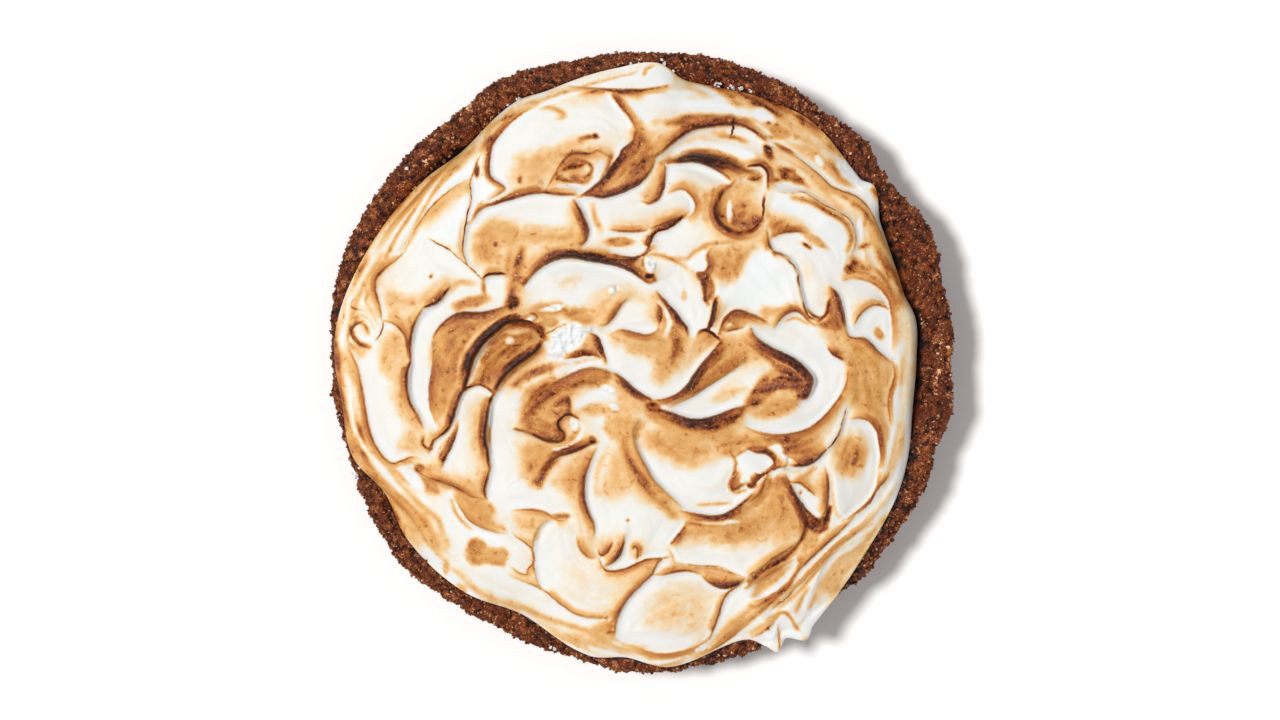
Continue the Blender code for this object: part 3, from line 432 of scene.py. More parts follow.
# Toasted or white areas, in mm: toast, softness of the border, then points round the area.
AREAS = (
    # right
    (.55, 1.3, (25.5, 41), (28, 43.5), (34, 44.5), (41, 45.3), (46, 47.5), (43, 42), (39, 36), (37, 32),
     (33.5, 29.3), (28, 31), (25.5, 36)),
    (.02, 1.0, (47, 45), (51, 41.5), (56, 37.5), (58.5, 33), (59, 28), (60, 22), (57, 21), (52, 18.5),
     (49, 16), (45, 19), (40, 21.3), (34, 21.3), (30.5, 23), (29.5, 27), (33.5, 27.5), (38, 30.5),
     (41, 37), (44, 42)),
    (.03, 1.0, (52, 64), (57, 62.5), (65, 60.5), (72, 56.5), (77.5, 52), (79, 48), (79, 44), (75, 45.5),
     (68, 49.5), (62, 53), (56, 57), (50, 60)),
    (.66, 1.5, (47.3, 60), (50, 57), (55, 55.5), (60, 52.5), (65, 50.5), (60, 48.7), (54, 48.5),
     (50, 46.5), (48, 50)),
    (.70, 1.5, (77, 34), (79.5, 41), (85, 40), (91, 35), (96, 26), (97.5, 19), (94.5, 24), (89, 29.5),
     (82, 31.3), (77.5, 31)),
    (.68, 1.0, (72.5, 28), (76, 25.5), (76.8, 20), (77.3, 14), (78, 10.5), (72, 12), (66, 14.5),
     (71, 17), (71.5, 22)),
    (.62, 2.6, (74, -35), (75, -29.5), (80, -27.5), (85, -29), (87.5, -34.8), (86.5, -40.6),
     (82, -45), (76.5, -44), (74, -40)),
    (.57, 1.5, (78, 9), (86, 7.5), (92, 3), (95.5, -2), (96, -7), (94, -14), (92, -22), (86, -21),
     (80.5, -17), (79, -8)),
    (.82, 1.2, (41, 10), (45, 7.5), (50, 4.5), (56, 1), (62, -3), (65, -7), (64, -13.5), (60.5, -14),
     (56.5, -11), (50.5, -11.6), (46, -15.5), (43, -17.4), (41.5, -15.2), (45, -8.7), (50.5, -6.5),
     (53, -4), (49, -.5), (43.5, 4.3)),
    (.50, 1.5, (45, -16.5), (50, -12.5), (57, -11.5), (61, -14.5), (60, -19), (52, -22.5), (44, -22.5),
     (41, -19.5)),
    (.46, 1.2, (50, 97), (57, 96), (64, 90), (70, 83), (66, 82), (58, 86), (50, 89), (46, 92)),
    (.50, 1.0, (91.5, -63), (82, -70), (74.5, -77.5), (70.5, -84), (69.5, -89), (75, -90.5),
     (83, -82), (90, -71)),
    (.60, 1.0, (33, -27), (42, -27.5), (50, -30), (51, -33.5), (45, -34.5), (40, -33), (36, -36),
     (31, -36), (28, -31)),
    (.86, .6, (61, -51), (63, -56.5), (66, -60.5), (69.5, -60.5), (72, -56), (73, -58), (71.5, -63),
     (68, -66.5), (64, -65), (62, -60)),
    (.55, 1.0, (61, -66), (66, -67.5), (68.5, -69), (64.5, -75), (59, -79), (60, -73)),
    (.68, 1.2, (43, -52), (49, -45), (53, -43), (56.5, -46), (58, -51), (54, -50), (49, -51),
     (45, -55)),
    (.02, .3, (48, -33), (53, -32.3), (54.5, -36), (58.5, -38), (59, -41.5), (55, -41), (50.5, -44.5),
     (51.5, -39.5), (49.5, -36.5)),
    (.02, .3, (37, -37), (40, -35), (44, -34.3), (47, -36.3), (48.8, -39), (46, -41.5), (42.5, -45.8),
     (39, -46.3), (37.5, -43), (35.8, -40)),
    # middle
    (.50, 2.0, (-16, 11.5), (-12, 12.5), (-5, 11.3), (.9, 9.8), (4.4, 10.8), (7, 15), (8, 20.3),
     (12.3, 15.9), (15.4, 11.6), (15.6, 4.3), (13, -3), (8, -10), (3.7, -7.2), (2, -1), (-5, 3),
     (-12, 7.2)),
    (.68, 1.4, (8.5, 20), (12.3, 15.9), (15.6, 11), (15.8, 3), (12.5, -3), (8.5, -6), (9, 0),
     (10.5, 8), (9.5, 14)),
    (.73, 1.6, (-47, -19), (-45, -10.5), (-38, -6.5), (-30, -4), (-22, -3), (-15, -4), (-12, -6),
     (-16, -10), (-24, -12.3), (-28, -17.4), (-31, -22), (-33, -28), (-37, -29), (-46, -26)),
    (.66, .8, (-52, -8.7), (-42, -2.2), (-31, 0), (-21, .7), (-17, 1.6), (-26, -1.4), (-38, -4.8),
     (-48, -10)),
    (.47, 1.2, (-11, -5.5), (-6, -8), (1, -14.5), (4.5, -17.5), (-1, -22), (-8, -25), (-15, -22),
     (-22, -20), (-24, -17.3), (-16, -15.5), (-9, -14.5), (-9, -9)),
    (.58, 2.8, (0, -28.5), (3, -26), (8, -25.4), (19.5, -27), (31, -28), (38, -27), (36, -32),
     (31, -37.5), (22, -41), (12, -40.5), (5, -37.5), (0, -33)),
    (.56, 2.2, (-35, -45), (-31, -39.5), (-25, -36), (-20, -34.5), (-19.5, -39), (-22, -46.5),
     (-23, -52), (-29, -52), (-33.5, -49)),
    (.46, 3.0, (-18, -52), (-18.3, -45), (-16, -38), (-13, -33), (-7, -31), (-1, -39), (5, -47.5),
     (10, -55), (3, -56), (-5, -51), (-12, -55)),
    (.42, 3.0, (-33, 18), (-26, 20), (-20.6, 24), (-13.5, 29), (-6, 29.7), (-.6, 26.8), (2.3, 22.5),
     (-7.7, 22.5), (-10.6, 18), (-15, 13.5), (-21, 13.5), (-27, 15)),
    (.55, 1.2, (-14, -20), (-3, -21), (2.5, -24.5), (-1.5, -29), (-6, -31), (-12, -30), (-15.5, -26)),
    (.56, 2.6, (-48, -31), (-42, -31.8), (-35, -33), (-31, -36), (-36, -42), (-41, -47.5),
     (-45.5, -46), (-48, -39)),
    (.82, .8, (1.5, -17.5), (8, -20), (14, -22.2), (22, -22.8), (30, -21.2), (36, -19),
     (40, -17.5), (38, -22.5), (32, -27), (24, -28.8), (14, -27.2), (6, -23.5), (1, -20)),
    (.56, 1.2, (-45, 19), (-41, 22.5), (-36, 23), (-29, 22), (-21, 20), (-18, 15), (-24, 13.5),
     (-31, 16), (-37, 15.5), (-42, 16)),
    (.30, 1.6, (-34, 31), (-28, 35), (-22, 34), (-24, 30), (-30, 28)),
    (.50, 1.2, (45.5, 22), (52, 21.5), (56.5, 24), (57, 20.5), (52, 17.5), (48, 15.5), (45, 18)),
    (.03, .5, (17.8, 39.3), (24.5, 43.2), (26.3, 42.6), (25, 39.5), (25, 35.5), (21.5, 34),
     (19, 36)),
    # top
    (.02, .8, (-64, 76), (-59.8, 74), (-56, 69.5), (-53.5, 67), (-57, 64), (-62, 60.5), (-65.8, 58),
     (-65.3, 66)),
    (.02, 1.2, (-82.5, 48.5), (-78, 55), (-72, 61.5), (-67, 65), (-67.5, 54), (-70.5, 45),
     (-76, 45.5)),
    (.04, .6, (-14, 108), (-6, 111), (2, 114.3), (8, 114.5), (12, 110), (8, 107.3), (0, 107)),
    (.44, 2.5, (-49, 80), (-38, 83), (-26.5, 86), (-19, 86), (-26, 81), (-32, 76), (-35, 70),
     (-38, 66.5), (-47, 65.5), (-52, 70)),
    (.50, 2.0, (-67, 41), (-65.5, 48), (-61.5, 53), (-53, 56), (-42, 53.5), (-31, 52), (-25, 56),
     (-22.5, 50.4), (-23, 44), (-31, 43), (-42, 43), (-50, 41), (-53, 36.5), (-63, 36)),
    (.03, 1.2, (12, 79.8), (18, 82), (26, 82), (34, 80.3), (41, 77), (44, 79), (43, 82.5), (36, 85.2),
     (28, 86.3), (20, 85.5), (14, 82.5)),
    (.42, .8, (22, 88.3), (28, 90), (33.5, 91.2), (33.8, 88.5), (36, 86.8), (42, 84), (36, 85.3),
     (28, 87)),
    # bottom
    (.19, 3.0, (-26, -73), (-22, -77.5), (-15, -81.6), (-7, -80), (5, -77), (0, -85), (-6.5, -92),
     (-12, -97.5), (-20.6, -96), (-27, -89), (-31, -79)),
    (.34, 3.0, (0, -93), (8, -86), (19.5, -84.5), (28, -89), (29, -93), (26, -102), (24, -107),
     (14, -105), (2, -102)),
    (.56, 2.4, (15.5, -63), (22, -60.5), (33, -60), (43, -54), (50, -46), (55, -47), (59.5, -54),
     (61.5, -62), (58, -68), (50, -71), (40, -72.5), (28, -71), (17, -68)),
    (.42, .8, (-29, -105.5), (-22, -106.2), (-13.5, -109), (-13, -112), (-20.6, -111.3), (-28, -108.4)),
    (.45, .8, (-10, -107.7), (0, -109.3), (12, -113), (22, -107.7), (25, -106), (19.5, -112),
     (8, -116), (-2, -113.5), (-8, -110.6)),
    # lower left
    (.55, .8, (-72.6, -51.5), (-60, -54), (-56, -60), (-52.5, -65), (-60, -65), (-67, -60.2),
     (-71, -55)),
    (.52, .7, (-68.4, -72.6), (-65.6, -68.5), (-61.5, -68.7), (-58.7, -71.2), (-53.2, -72),
     (-51.8, -75.4), (-53.2, -79.5), (-58.7, -78.8), (-65.6, -79.8), (-68, -76.7)),
    (.62, 1.2, (-68.4, -72.6), (-65.6, -68.5), (-62, -70), (-62, -76), (-65.6, -79.8), (-68, -77)),
    (.42, 1.0, (-50.4, -57.8), (-38, -57.5), (-32.4, -60.2), (-36.6, -63), (-40.5, -68.5),
     (-43.5, -66.4), (-47.7, -64.3), (-49.7, -61.5)),
    (.36, .8, (-101.6, -47.7), (-93, -53), (-85, -60), (-78, -67), (-74, -74), (-79.5, -72.6),
     (-86.4, -65.7), (-93.3, -60), (-100, -52)),
    (.58, .8, (-88.5, -39.4), (-81, -42.2), (-79.5, -47.7), (-78, -51), (-82, -49.8), (-86.4, -45)),
    (.44, 1.5, (-79.5, -41), (-76.7, -46.5), (-70, -49), (-62, -52), (-60, -47.7), (-59.5, -39.4),
     (-62.2, -41), (-64.3, -46.3), (-70, -46.3), (-75.3, -43.6)),
    # left
    (.65, 1.2, (-81.5, -17.4), (-81.8, -10), (-81, 0), (-80, 8.5), (-76, 14), (-70, 17.7), (-60, 18.7),
     (-52.5, 20), (-55, 16), (-62, 10.5), (-67, 2), (-68.5, -7), (-72, -14.5), (-77, -21)),
    (.67, 1.0, (-66, -8.5), (-63, 1), (-57.5, 8), (-50.5, 12.5), (-42, 13), (-39.5, 7.5), (-45, 2.5),
     (-52, -3), (-57, -10)),
    (.47, 2.0, (-100, 27.5), (-99.5, 20.3), (-92, 18.8), (-85, 20), (-79, 22.5), (-75, 26), (-72, 31),
     (-76, 32), (-82, 28), (-89, 26.5), (-96, 29)),
    (.38, 2.0, (-96, -37), (-94, -30), (-89, -23), (-86, -25), (-84, -31), (-84, -36.5), (-90, -37)),
    (.42, 1.5, (-99, 11.5), (-94, 12.5), (-90.5, 5.5), (-91.3, -6), (-89.5, -16), (-86, -23),
     (-90, -25), (-95, -21), (-97, -15), (-98.5, -7), (-102, -2), (-101, 5)),
    (.44, 1.0, (-113, 7), (-106, 5), (-107, 2), (-110, -1), (-112, 3)),
)
# Toasted streaks without a step of their own, in mm: toast, half width, then points.
STREAKS = (
    (.36, 1.8, (-62, 91), (-72, 82.5), (-82, 72), (-91, 61), (-98, 51), (-104, 41)),
    (.03, .8, (-81, 70), (-86, 64), (-91.5, 56), (-96.5, 48), (-100.5, 40)),
    (.48, .7, (-81.5, 67.5), (-86.3, 61.2), (-90.2, 56), (-95, 48.5), (-99, 41)),
    (.03, 1.0, (-74.5, 76), (-81.7, 66.4), (-86.3, 58.5), (-92.2, 49.3), (-97, 41)),
    (.44, .8, (-67, 81.5), (-73.8, 75.6), (-77, 71), (-81.7, 63.1), (-85, 57.9), (-89, 50),
     (-93, 43)),
    (.03, 1.4, (-65.2, 75), (-71.2, 71.7), (-76.4, 67), (-81.7, 61.2)),
    (.40, .8, (-70.2, 40), (-70.5, 45), (-70, 50), (-69, 55)),
    (.88, .7, (-54, 93.5), (-51, 95), (-48, 95.5)),
    (.48, 1.2, (-42, 98.3), (-37, 98.5), (-33, 97.3), (-30, 95), (-32, 94)),
    (.74, .8, (-33, 72.5), (-31, 75.7), (-26, 77.7), (-21, 76.5), (-19.3, 73.7), (-22, 71),
     (-27, 69.8), (-33, 70.5)),
    (.88, .6, (-31, 73.5), (-28, 74.8), (-25, 75), (-23, 76)),
    (.72, 1.2, (-12, 79), (-13, 75), (-16, 71)),
    (.70, 1.0, (-18, 87), (-24, 86)),
    (.65, 1.6, (-2, 88), (0, 85), (3, 82)),
    (.76, 2.0, (-50, 22), (-50, 28), (-48.5, 33), (-47.5, 38), (-46.5, 43)),
    (.96, 1.5, (-52, 22), (-50, 24.5), (-48.5, 22.5), (-50.5, 20.8)),
    (.70, 2.4, (-7, -30), (-5.5, -36), (-2, -42.5), (3, -49), (8, -54), (12, -59)),
    (.60, 1.0, (30, 87), (36, 86.5), (40, 85)),
    (.45, .8, (3, 66), (1, 63)),
    (.70, 1.2, (28, 65.5), (26, 62), (25, 59)),
    (.50, 1.4, (-19, 60), (-18, 55), (-16, 51)),
    (.45, 1.3, (52, 80), (58, 76.5), (64, 73), (70, 67), (74, 62), (76, 60)),
    (.80, .9, (50, 70), (53, 70)),
    (.90, .8, (62, 45.5), (65, 43.5)),
    (.70, .9, (84, 44), (88, 45.5)),
    (.55, 1.0, (55.5, 88), (52, 86.5), (45, 87)),
    (.45, 1.4, (-74, 28), (-70, 30.5), (-64, 30)),
    (.65, 1.0, (-61.2, 31), (-61, 28), (-60.4, 25)),
    (.55, 1.6, (-52, 33), (-51.5, 38), (-50.5, 43)),
    (.78, 1.6, (-64, 6), (-67, 0), (-68.5, -6), (-68, -10)),
    (.70, .8, (-84.3, -29), (-84.5, -31.5), (-83, -33.3), (-81, -33.5)),
    (.66, .9, (-114.2, 8.5), (-113, 12.5), (-110, 15), (-107, 13.8), (-105.8, 11)),
    (.50, .9, (-113.4, 7), (-110.5, 5.2), (-107, 6.5)),
    (.62, 1.7, (-58, 8), (-53, 12), (-47, 13.6), (-42, 12.5), (-39.3, 9.5)),
    (.93, 1.3, (-51, 15), (-46, 15), (-41, 13), (-38.3, 9.5)),
    (.42, 1.6, (56, 84.6), (62, 81.2), (68, 77.2), (72, 74)),
    (.30, .5, (-71, -5), (-69.3, 2), (-65.5, 8), (-60.5, 13), (-55, 16.2), (-50, 18.5)),
    (.08, .8, (-113, -8), (-113, -18), (-111, -27), (-107, -34), (-102, -40)),
    (.84, 2.0, (-36, 40), (-30, 41.2), (-20, 40.5), (-12, 39.5), (-6, 38.5)),
    (.75, .9, (1, 41), (.5, 38), (2, 35.5), (4, 33), (5, 31)),
    (.55, .9, (2, 41), (6, 41), (10, 39.8), (14, 38), (17, 36)),
    (.50, .9, (13, 39.8), (17, 39.5), (20, 42), (25, 45), (30, 45.5), (36, 46.5), (40, 47.5)),
    (.03, 1.5, (-25, -17), (-18, -13), (-12, -12)),
    (.60, 1.3, (-28, -22), (-25, -26), (-27, -30)),
    (.65, 1.6, (-42, -47), (-40, -44.5), (-38, -42)),
    (.05, 1.0, (9, 20), (10.5, 15), (9, 10)),
    (.62, 1.2, (12, -15), (20, -8), (28, 0), (31, 5)),
    (.50, 2.2, (3, -21), (10, -25), (17, -27.5), (24, -28), (32, -27), (37, -24)),
    (.65, 1.0, (40, 8), (45, 4), (50, 1), (52, -2), (54, -4.5)),
    (.68, 1.6, (52, -4), (47, -6.5), (44, -11), (41, -15), (40, -18)),
    (.80, 2.3, (43.5, -16.5), (46.5, -12.8), (50.5, -9.3), (54, -7.5)),
    (.50, .8, (55, 15.5), (59, 16.7), (64, 14.5)),
    (.60, .9, (86, -20.5), (89, -22.5), (91, -24)),
    (.75, 1.0, (48, -30), (56, -31), (60, -31)),
    (.50, 1.0, (-73.5, -53), (-72, -58), (-69, -62), (-66, -64.5)),
    (.55, 1.4, (-107, -40), (-100, -45.5), (-94, -51.5), (-87.5, -58), (-83, -64), (-79, -71)),
    (.05, 1.4, (-104, -38), (-98, -45), (-93, -50)),
    (.45, 1.3, (-97, -43), (-92, -49), (-85, -56), (-79, -61), (-77, -66), (-74.5, -71)),
    (.50, 1.2, (-59, -55), (-57, -58)),
    (.45, 1.2, (-58, -92), (-50, -94.5), (-43, -97), (-35, -100), (-25, -103), (-15, -106),
     (-10, -108)),
    (.60, 1.6, (38, -58.3), (42, -55.8), (46, -52), (49, -47)),
    (.58, .9, (17, -62), (21, -62.3), (25, -62.3)),
    (.58, .9, (34, -61.8), (38, -61.3)),
    (.03, .7, (-34, -33.8), (-30, -33), (-26.5, -31.5), (-24, -29), (-23, -26), (-23.5, -24)),
    (.84, 1.5, (-39.5, -48), (-38.3, -44), (-36.3, -41), (-33.5, -38.5)),
    (.36, 1.6, (-17.5, -50), (-17.3, -44), (-15.5, -38), (-13, -33.5)),
    (.50, .8, (22, -55), (28, -54.8), (34, -54.5)),
    (.45, 1.3, (26, -110), (31, -105), (36, -101), (42, -96)),
    (.55, 1.2, (59, -46), (63, -44), (66, -41)),
    (.56, .8, (48, -99.5), (54, -97), (57, -98.5), (60.3, -104), (63.5, -107.5)),
    (.62, .5, (53, -104), (53.4, -112)),
    (.86, .8, (41, -85), (46, -82), (51, -79), (55, -75.8), (59, -72), (61.8, -67.5), (63, -62)),
    (.66, .5, (40, -87.5), (45, -84), (54, -77.7), (59.5, -74)),
    (.52, 1.8, (43, -90), (48, -86), (53, -82), (57, -79)),
    (.03, .9, (59.7, -76.5), (52, -80), (45, -85), (41, -88.5), (40, -91.5), (44, -92.5),
     (51, -87.5), (57.5, -81), (60, -77)),
    (.66, 1.1, (61.5, -77), (58, -84), (52.5, -90.5), (45, -97), (39, -101)),
    (.03, 1.0, (87.5, -60.5), (79.5, -66.7), (71.6, -73.6), (63, -83), (56, -89.5), (48, -97.3)),
    (.52, .9, (89, -62.7), (81, -67.5), (73, -74.6), (66, -82.5), (59.7, -89.6), (53, -95)),
    (.03, 1.1, (85, -69.3), (75, -75.2), (70, -81), (66.3, -88), (63, -97)),
    (.46, 1.2, (64, -88), (61.5, -92), (59.5, -96.5)),
    (.50, .8, (42, -105), (47, -101.5), (52, -98.5)),
    (.68, 1.3, (79.3, 43), (80.8, 47), (79.8, 51), (77, 54.5), (71, 58), (65, 61.5), (58, 63.3)),
    (.03, 2.3, (2, 102), (8, 100.5), (16, 99.5), (26, 99), (36, 97.5), (44, 94.5)),
    (.03, 2.2, (-5, 101), (0, 96), (4, 91)),
    (.50, .6, (4, 114.5), (1.5, 113), (.5, 110.5)),
    (.42, .6, (-2, 112), (-12, 109.5), (-25, 106), (-38, 101.5), (-50, 95.5)),
    (.04, .9, (0, 109.5), (-13, 107.5), (-26, 103.8), (-39, 99), (-51, 93)),
    (.62, 1.7, (30, 107.5), (33, 104), (37, 99.5)),
    (.05, 1.2, (20, 107), (26, 105), (30, 102)),
    (.04, 1.1, (98.7, 12), (98.8, -2), (98.3, -14), (97, -27), (94.5, -38), (90, -49)),
    (.90, .8, (21.8, 33), (23.3, 30), (24, 26.5), (24.3, 23.6), (25.6, 22)),
    (.86, .9, (22.5, 33), (25.5, 31.8), (27.2, 28.5), (26.6, 25)),
    (.98, .7, (28, 24), (27.2, 19), (26.2, 15), (25, 12)),
    # The right rim's streak below is kept pale as painted light against the shade of its steep edge.
    (.26, 1.4, (103, 24), (102.7, 14), (102.3, 2), (101.7, -12), (100, -26), (97, -40), (92, -53)),
    (.12, 1.8, (81.5, 70), (88.5, 61.5), (93.5, 52.5), (97.5, 43)),
    (.10, .9, (-62, 92), (-55, 96.5), (-48, 100.3), (-38, 104)),
    (.48, 1.5, (-113.8, 12), (-111, 22), (-107, 31), (-101, 41)),
    (.05, .9, (-20, -111), (-8, -114.3), (4, -116.7), (14, -115), (24, -110)),
    (.72, .7, (34, -35), (36, -39), (35, -44), (33.5, -48), (36, -50.3), (40, -49.5)),
    (.84, .7, (63.5, 20), (66, 17.6), (69, 16.8), (71.2, 19), (71.8, 23)),
    (.68, 1.1, (-33, 71), (-29.5, 70), (-26, 69.3), (-22, 69.3), (-19.8, 71)),
    (.78, .9, (-29.5, 79.5), (-25, 80.5), (-20.5, 79.5)),
    (.84, .9, (-112.8, 13), (-111.5, 9.5), (-109, 7), (-105.5, 5.8)),
    (.05, 1.1, (15, 82.4), (20, 83.4), (27, 83.3), (34, 81.3), (40, 78.4)),
    (.66, .6, (36, -36.3), (40, -33.8), (44, -33), (48, -34.8), (50.5, -37.5)),
)
# Soft patches, in mm and degrees: toast, centre, half axes, turn of the first axis.
PATCHES = (
    (.70, (-63.8, 73.5), (1.3, 3.5), 0), (.30, (-56, 90), (4, 1.6), 40),
    (.36, (-66.5, 86), (9, 2.4), 45), (.03, (-70, 78), (3, 3), 0), (.75, (-47, 70), (1, 1.8), 0),
    (.75, (-18, 87), (1.2, 1), 0), (.03, (-16.7, 74), (1.7, 3.6), -20),
    (.03, (-26, 67), (7, 2), 0), (.66, (-4, 74), (10, 9), -25), (.68, (-1, 84), (4.5, 8), 0),
    (.75, (-56.5, 45), (1, 1), 0), (.03, (7, 110.5), (6, 3.5), 0), (.66, (28, 93), (18, 2.6), 2),
    (.03, (28, 99), (14, 3.5), 0), (.03, (3, 93), (4, 7), 20), (.03, (20, 70), (7, 4), -10),
    (.86, (30, 77), (8, 2.6), -12), (.50, (25, 60), (2.2, 6), 0), (.55, (-8, 46), (6, 2), 0),
    (.70, (55, 82), (5, 1.3), -30), (.85, (48.5, 81), (2.0, 3.8), 30),
    (.86, (55, 73), (4.2, 2.7), -20), (.65, (60, 70), (5, 2), -35),
    (.45, (66, 47), (9, 1.8), -30), (.74, (38.5, 57), (6.5, 6.5), 0),
    (.45, (38, 66), (5, 2.6), 0), (.90, (39, 60), (1, 1), 0), (.10, (33.6, 58.5), (.9, 4), 0),
    (.70, (40.5, 54), (5, 2.9), 0), (.57, (45, 102), (14, 6), -20), (.40, (66, 86), (9, 7), -40),
    (.03, (46.5, 95), (6, 2.5), -20), (.70, (49, 92.3), (1, .8), 0),
    (.70, (52, 91.5), (1, .8), 0), (.20, (88, 56), (3.5, 6), 0), (.03, (84, 51), (1.5, 5), 0),
    (.03, (82, 71.5), (7.5, 2.8), -38), (.75, (-81.3, 32.7), (1, 1), 0),
    (.03, (-85, 37), (5, 4), 0), (.75, (-48.5, 33), (3, 9), 0), (.85, (-46, 31.5), (2.4, 1.6), 0),
    (.56, (-65.5, 22.6), (8, 2.9), 8), (.45, (-67, 1), (3, 9), 15),
    # The white patch at (-51, 8) is a painted highlight on the brown lobe.
    (.05, (-51, 8), (1.5, 1.2), 0), (.80, (-74, -22), (1.5, 2.5), 0),
    (.75, (-76.5, -36), (1.5, 2), 0), (.22, (-64, -25), (3, 12), 0), (.55, (-60, -30), (2, 8), 0),
    (.70, (-86, -41), (2, 1.5), 0), (.40, (-110, -20), (3, 20), -8),
    (.55, (-111, -32), (2, 3), 0), (.90, (2.5, 33), (1.4, 1.2), 0), (.03, (3, 37), (1.6, 3), 0),
    (.03, (-35, 20.4), (4.6, .9), 12), (.55, (-35, 15), (4, 2), 0), (.03, (-28, 7), (9, 5), 25),
    (.78, (-28.3, -17), (1.5, 4), 0), (.55, (-42, -35), (5, 6), -30),
    (.03, (-14, -10.5), (2, 1.5), 0), (.03, (-10.5, -17.5), (2, 1.5), 0),
    (.80, (-39, -18), (1, 1), 0), (.74, (-19, -30), (2, 1.6), 0), (.50, (28, 0), (18, 13), 40),
    (.30, (32, -13), (8, 2), 20), (.90, (24.5, 24), (1.1, 1.1), 0), (.35, (16, 25), (1.5, 3), 0),
    (.03, (33, 14), (1.6, 1), 0), (.55, (62, 34), (4, 5), 0), (.70, (73.5, 19), (4, 10), -8),
    (.85, (80, 36), (2.6, 2.2), 0), (.50, (91.5, 10.8), (2.2, 3.8), 25),
    (.56, (52, 89), (6, 2.6), -25), (.45, (105.5, 26), (2.4, 10), 4),
    (.28, (99, 14), (2.5, 8), 0), (.03, (97.5, -16), (.9, 4.5), 0),
    (.03, (44, -4.5), (9, 3.5), 35), (.45, (93, -27), (2, 5), 0), (.66, (60, -34), (9, 6), 0),
    (.70, (57, -33), (2.5, 2.2), 0), (.03, (68.5, 77.5), (1.5, 2.8), 25),
    (.03, (-89, -45), (8, 2.2), -47), (.80, (4, -17.5), (4, 2), -15),
    (.70, (25.2, 28.5), (2.2, 5), 12), (.45, (-91, -64), (6, 2), -65),
    (.03, (-63, -84), (13, 8), -30), (.45, (-76, -80), (1.2, 3), 0),
    (.40, (-70, -88), (3, 2), -40), (.60, (-31, -59.5), (4, 1.5), 0),
    (.60, (-5.5, -61), (.7, .7), 0), (.50, (-13.5, -99), (.7, .7), 0),
    # The long white patch at (29, -61.5) is a painted highlight.
    (.42, (-15, -103), (6, 3), 0), (.03, (29, -61.5), (9, 1), 0), (.88, (42, -47.5), (2, 1.4), 0),
    (.86, (68, -63), (4, 2.5), 0), (.60, (61, -76), (1.6, 1.6), 0),
    (.50, (49, -83), (8, 2.5), 33), (.70, (82, -32.5), (4, 3), 0), (.45, (79, -79), (9, 11), -40),
    (.40, (49, -101.3), (3, 1.6), 30), (.62, (48.7, -103.5), (.9, .9), 0),
    (.03, (49, -107), (4.2, 2.6), 40), (.03, (59.5, -106), (4, 2.6), 0),
    (.04, (64.5, -101), (2.9, 7), -25), (.45, (-93.3, -6), (1.3, 5), 0),
    (.45, (-92.8, -13), (1.2, 4), 8),
)


# ---------------------------------------------------------------- lines and outlines

def eased(t):
    """The smooth way from 0 to 1."""
    return t * t * (3 - 2 * t)


def smoothstep(low, high, value):
    """0 at low, 1 at high, and a smooth change between them."""
    return eased(np.clip((value - low) / (high - low), 0, 1))


def radius_at(edge, degrees):
    """Radius of a closed outline through its (azimuth, radius) points, smooth between them."""
    azimuth, radius = np.array(edge, float).T
    azimuth = np.concatenate((azimuth[-2:] - 360, azimuth, azimuth[:3] + 360))
    radius = np.concatenate((radius[-2:], radius, radius[:3]))
    slope = np.zeros_like(radius)
    slope[1:-1] = (radius[2:] - radius[:-2]) / (azimuth[2:] - azimuth[:-2])
    degrees = np.mod(degrees, 360)
    left = np.clip(np.searchsorted(azimuth, degrees, side="right") - 1, 1, len(azimuth) - 3)
    span = azimuth[left + 1] - azimuth[left]
    t = (degrees - azimuth[left]) / span
    return (
        (2 * t**3 - 3 * t**2 + 1) * radius[left]
        + (t**3 - 2 * t**2 + t) * span * slope[left]
        + (3 * t**2 - 2 * t**3) * radius[left + 1]
        + (t**3 - t**2) * span * slope[left + 1]
    )


def azimuth_of(x, y):
    """Azimuth of each place, in degrees."""
    return np.degrees(np.arctan2(y, x))


def inside_edge(edge, x, y):
    """How many mm each place lies inside an outline, measured towards the middle."""
    return radius_at(edge, azimuth_of(x, y)) - np.hypot(x, y)


def turned_from(middle, azimuth):
    """Degrees between two azimuths, the shorter way round."""
    return np.abs(np.mod(azimuth - middle + 180, 360) - 180)


def with_ends(knots):
    """The knots of a curve, with one more past each end."""
    return np.concatenate((2 * knots[:1] - knots[1:2], knots, 2 * knots[-1:] - knots[-2:-1]))


def curve(knots, i, t):
    """Places on the curve from knot i + 1 to knot i + 2, at shares t of the way."""
    a, b, c, d = knots[i:i + 4]
    return 0.5 * (2 * b + (c - a) * t + (2 * a - 5 * b + 4 * c - d) * t**2
                  + (3 * b - a - 3 * c + d) * t**3)


def smooth_line(points, spacing):
    """Points at even steps on a curve through the given ones, with the curve's directions."""
    knots = np.array(points, float)
    padded = with_ends(knots)
    pieces = []
    for i in range(len(knots) - 1):
        count = max(2, int(np.linalg.norm(knots[i + 1] - knots[i]) / spacing))
        pieces.append(curve(padded, i, (np.arange(count) / count)[:, None]))
    line = np.concatenate(pieces + [knots[-1:]])
    along = np.gradient(line, axis=0)
    along /= np.linalg.norm(along, axis=1, keepdims=True)
    return line, along


def leftward(along):
    """The directions to the left of a line's directions."""
    return np.stack((-along[:, 1], along[:, 0]), axis=1)


def tapered(line, start):
    """For each point of a line: about 1 in its middle, and less towards both ends."""
    return np.sqrt(np.sin(np.linspace(start, math.pi - start, len(line))))


# ---------------------------------------------------------------- grids

def cell_places():
    """x and y of the grid's cells, in mm."""
    axis = (np.arange(CELLS) + 0.5) * CELL - HALF
    return np.meshgrid(axis, axis)


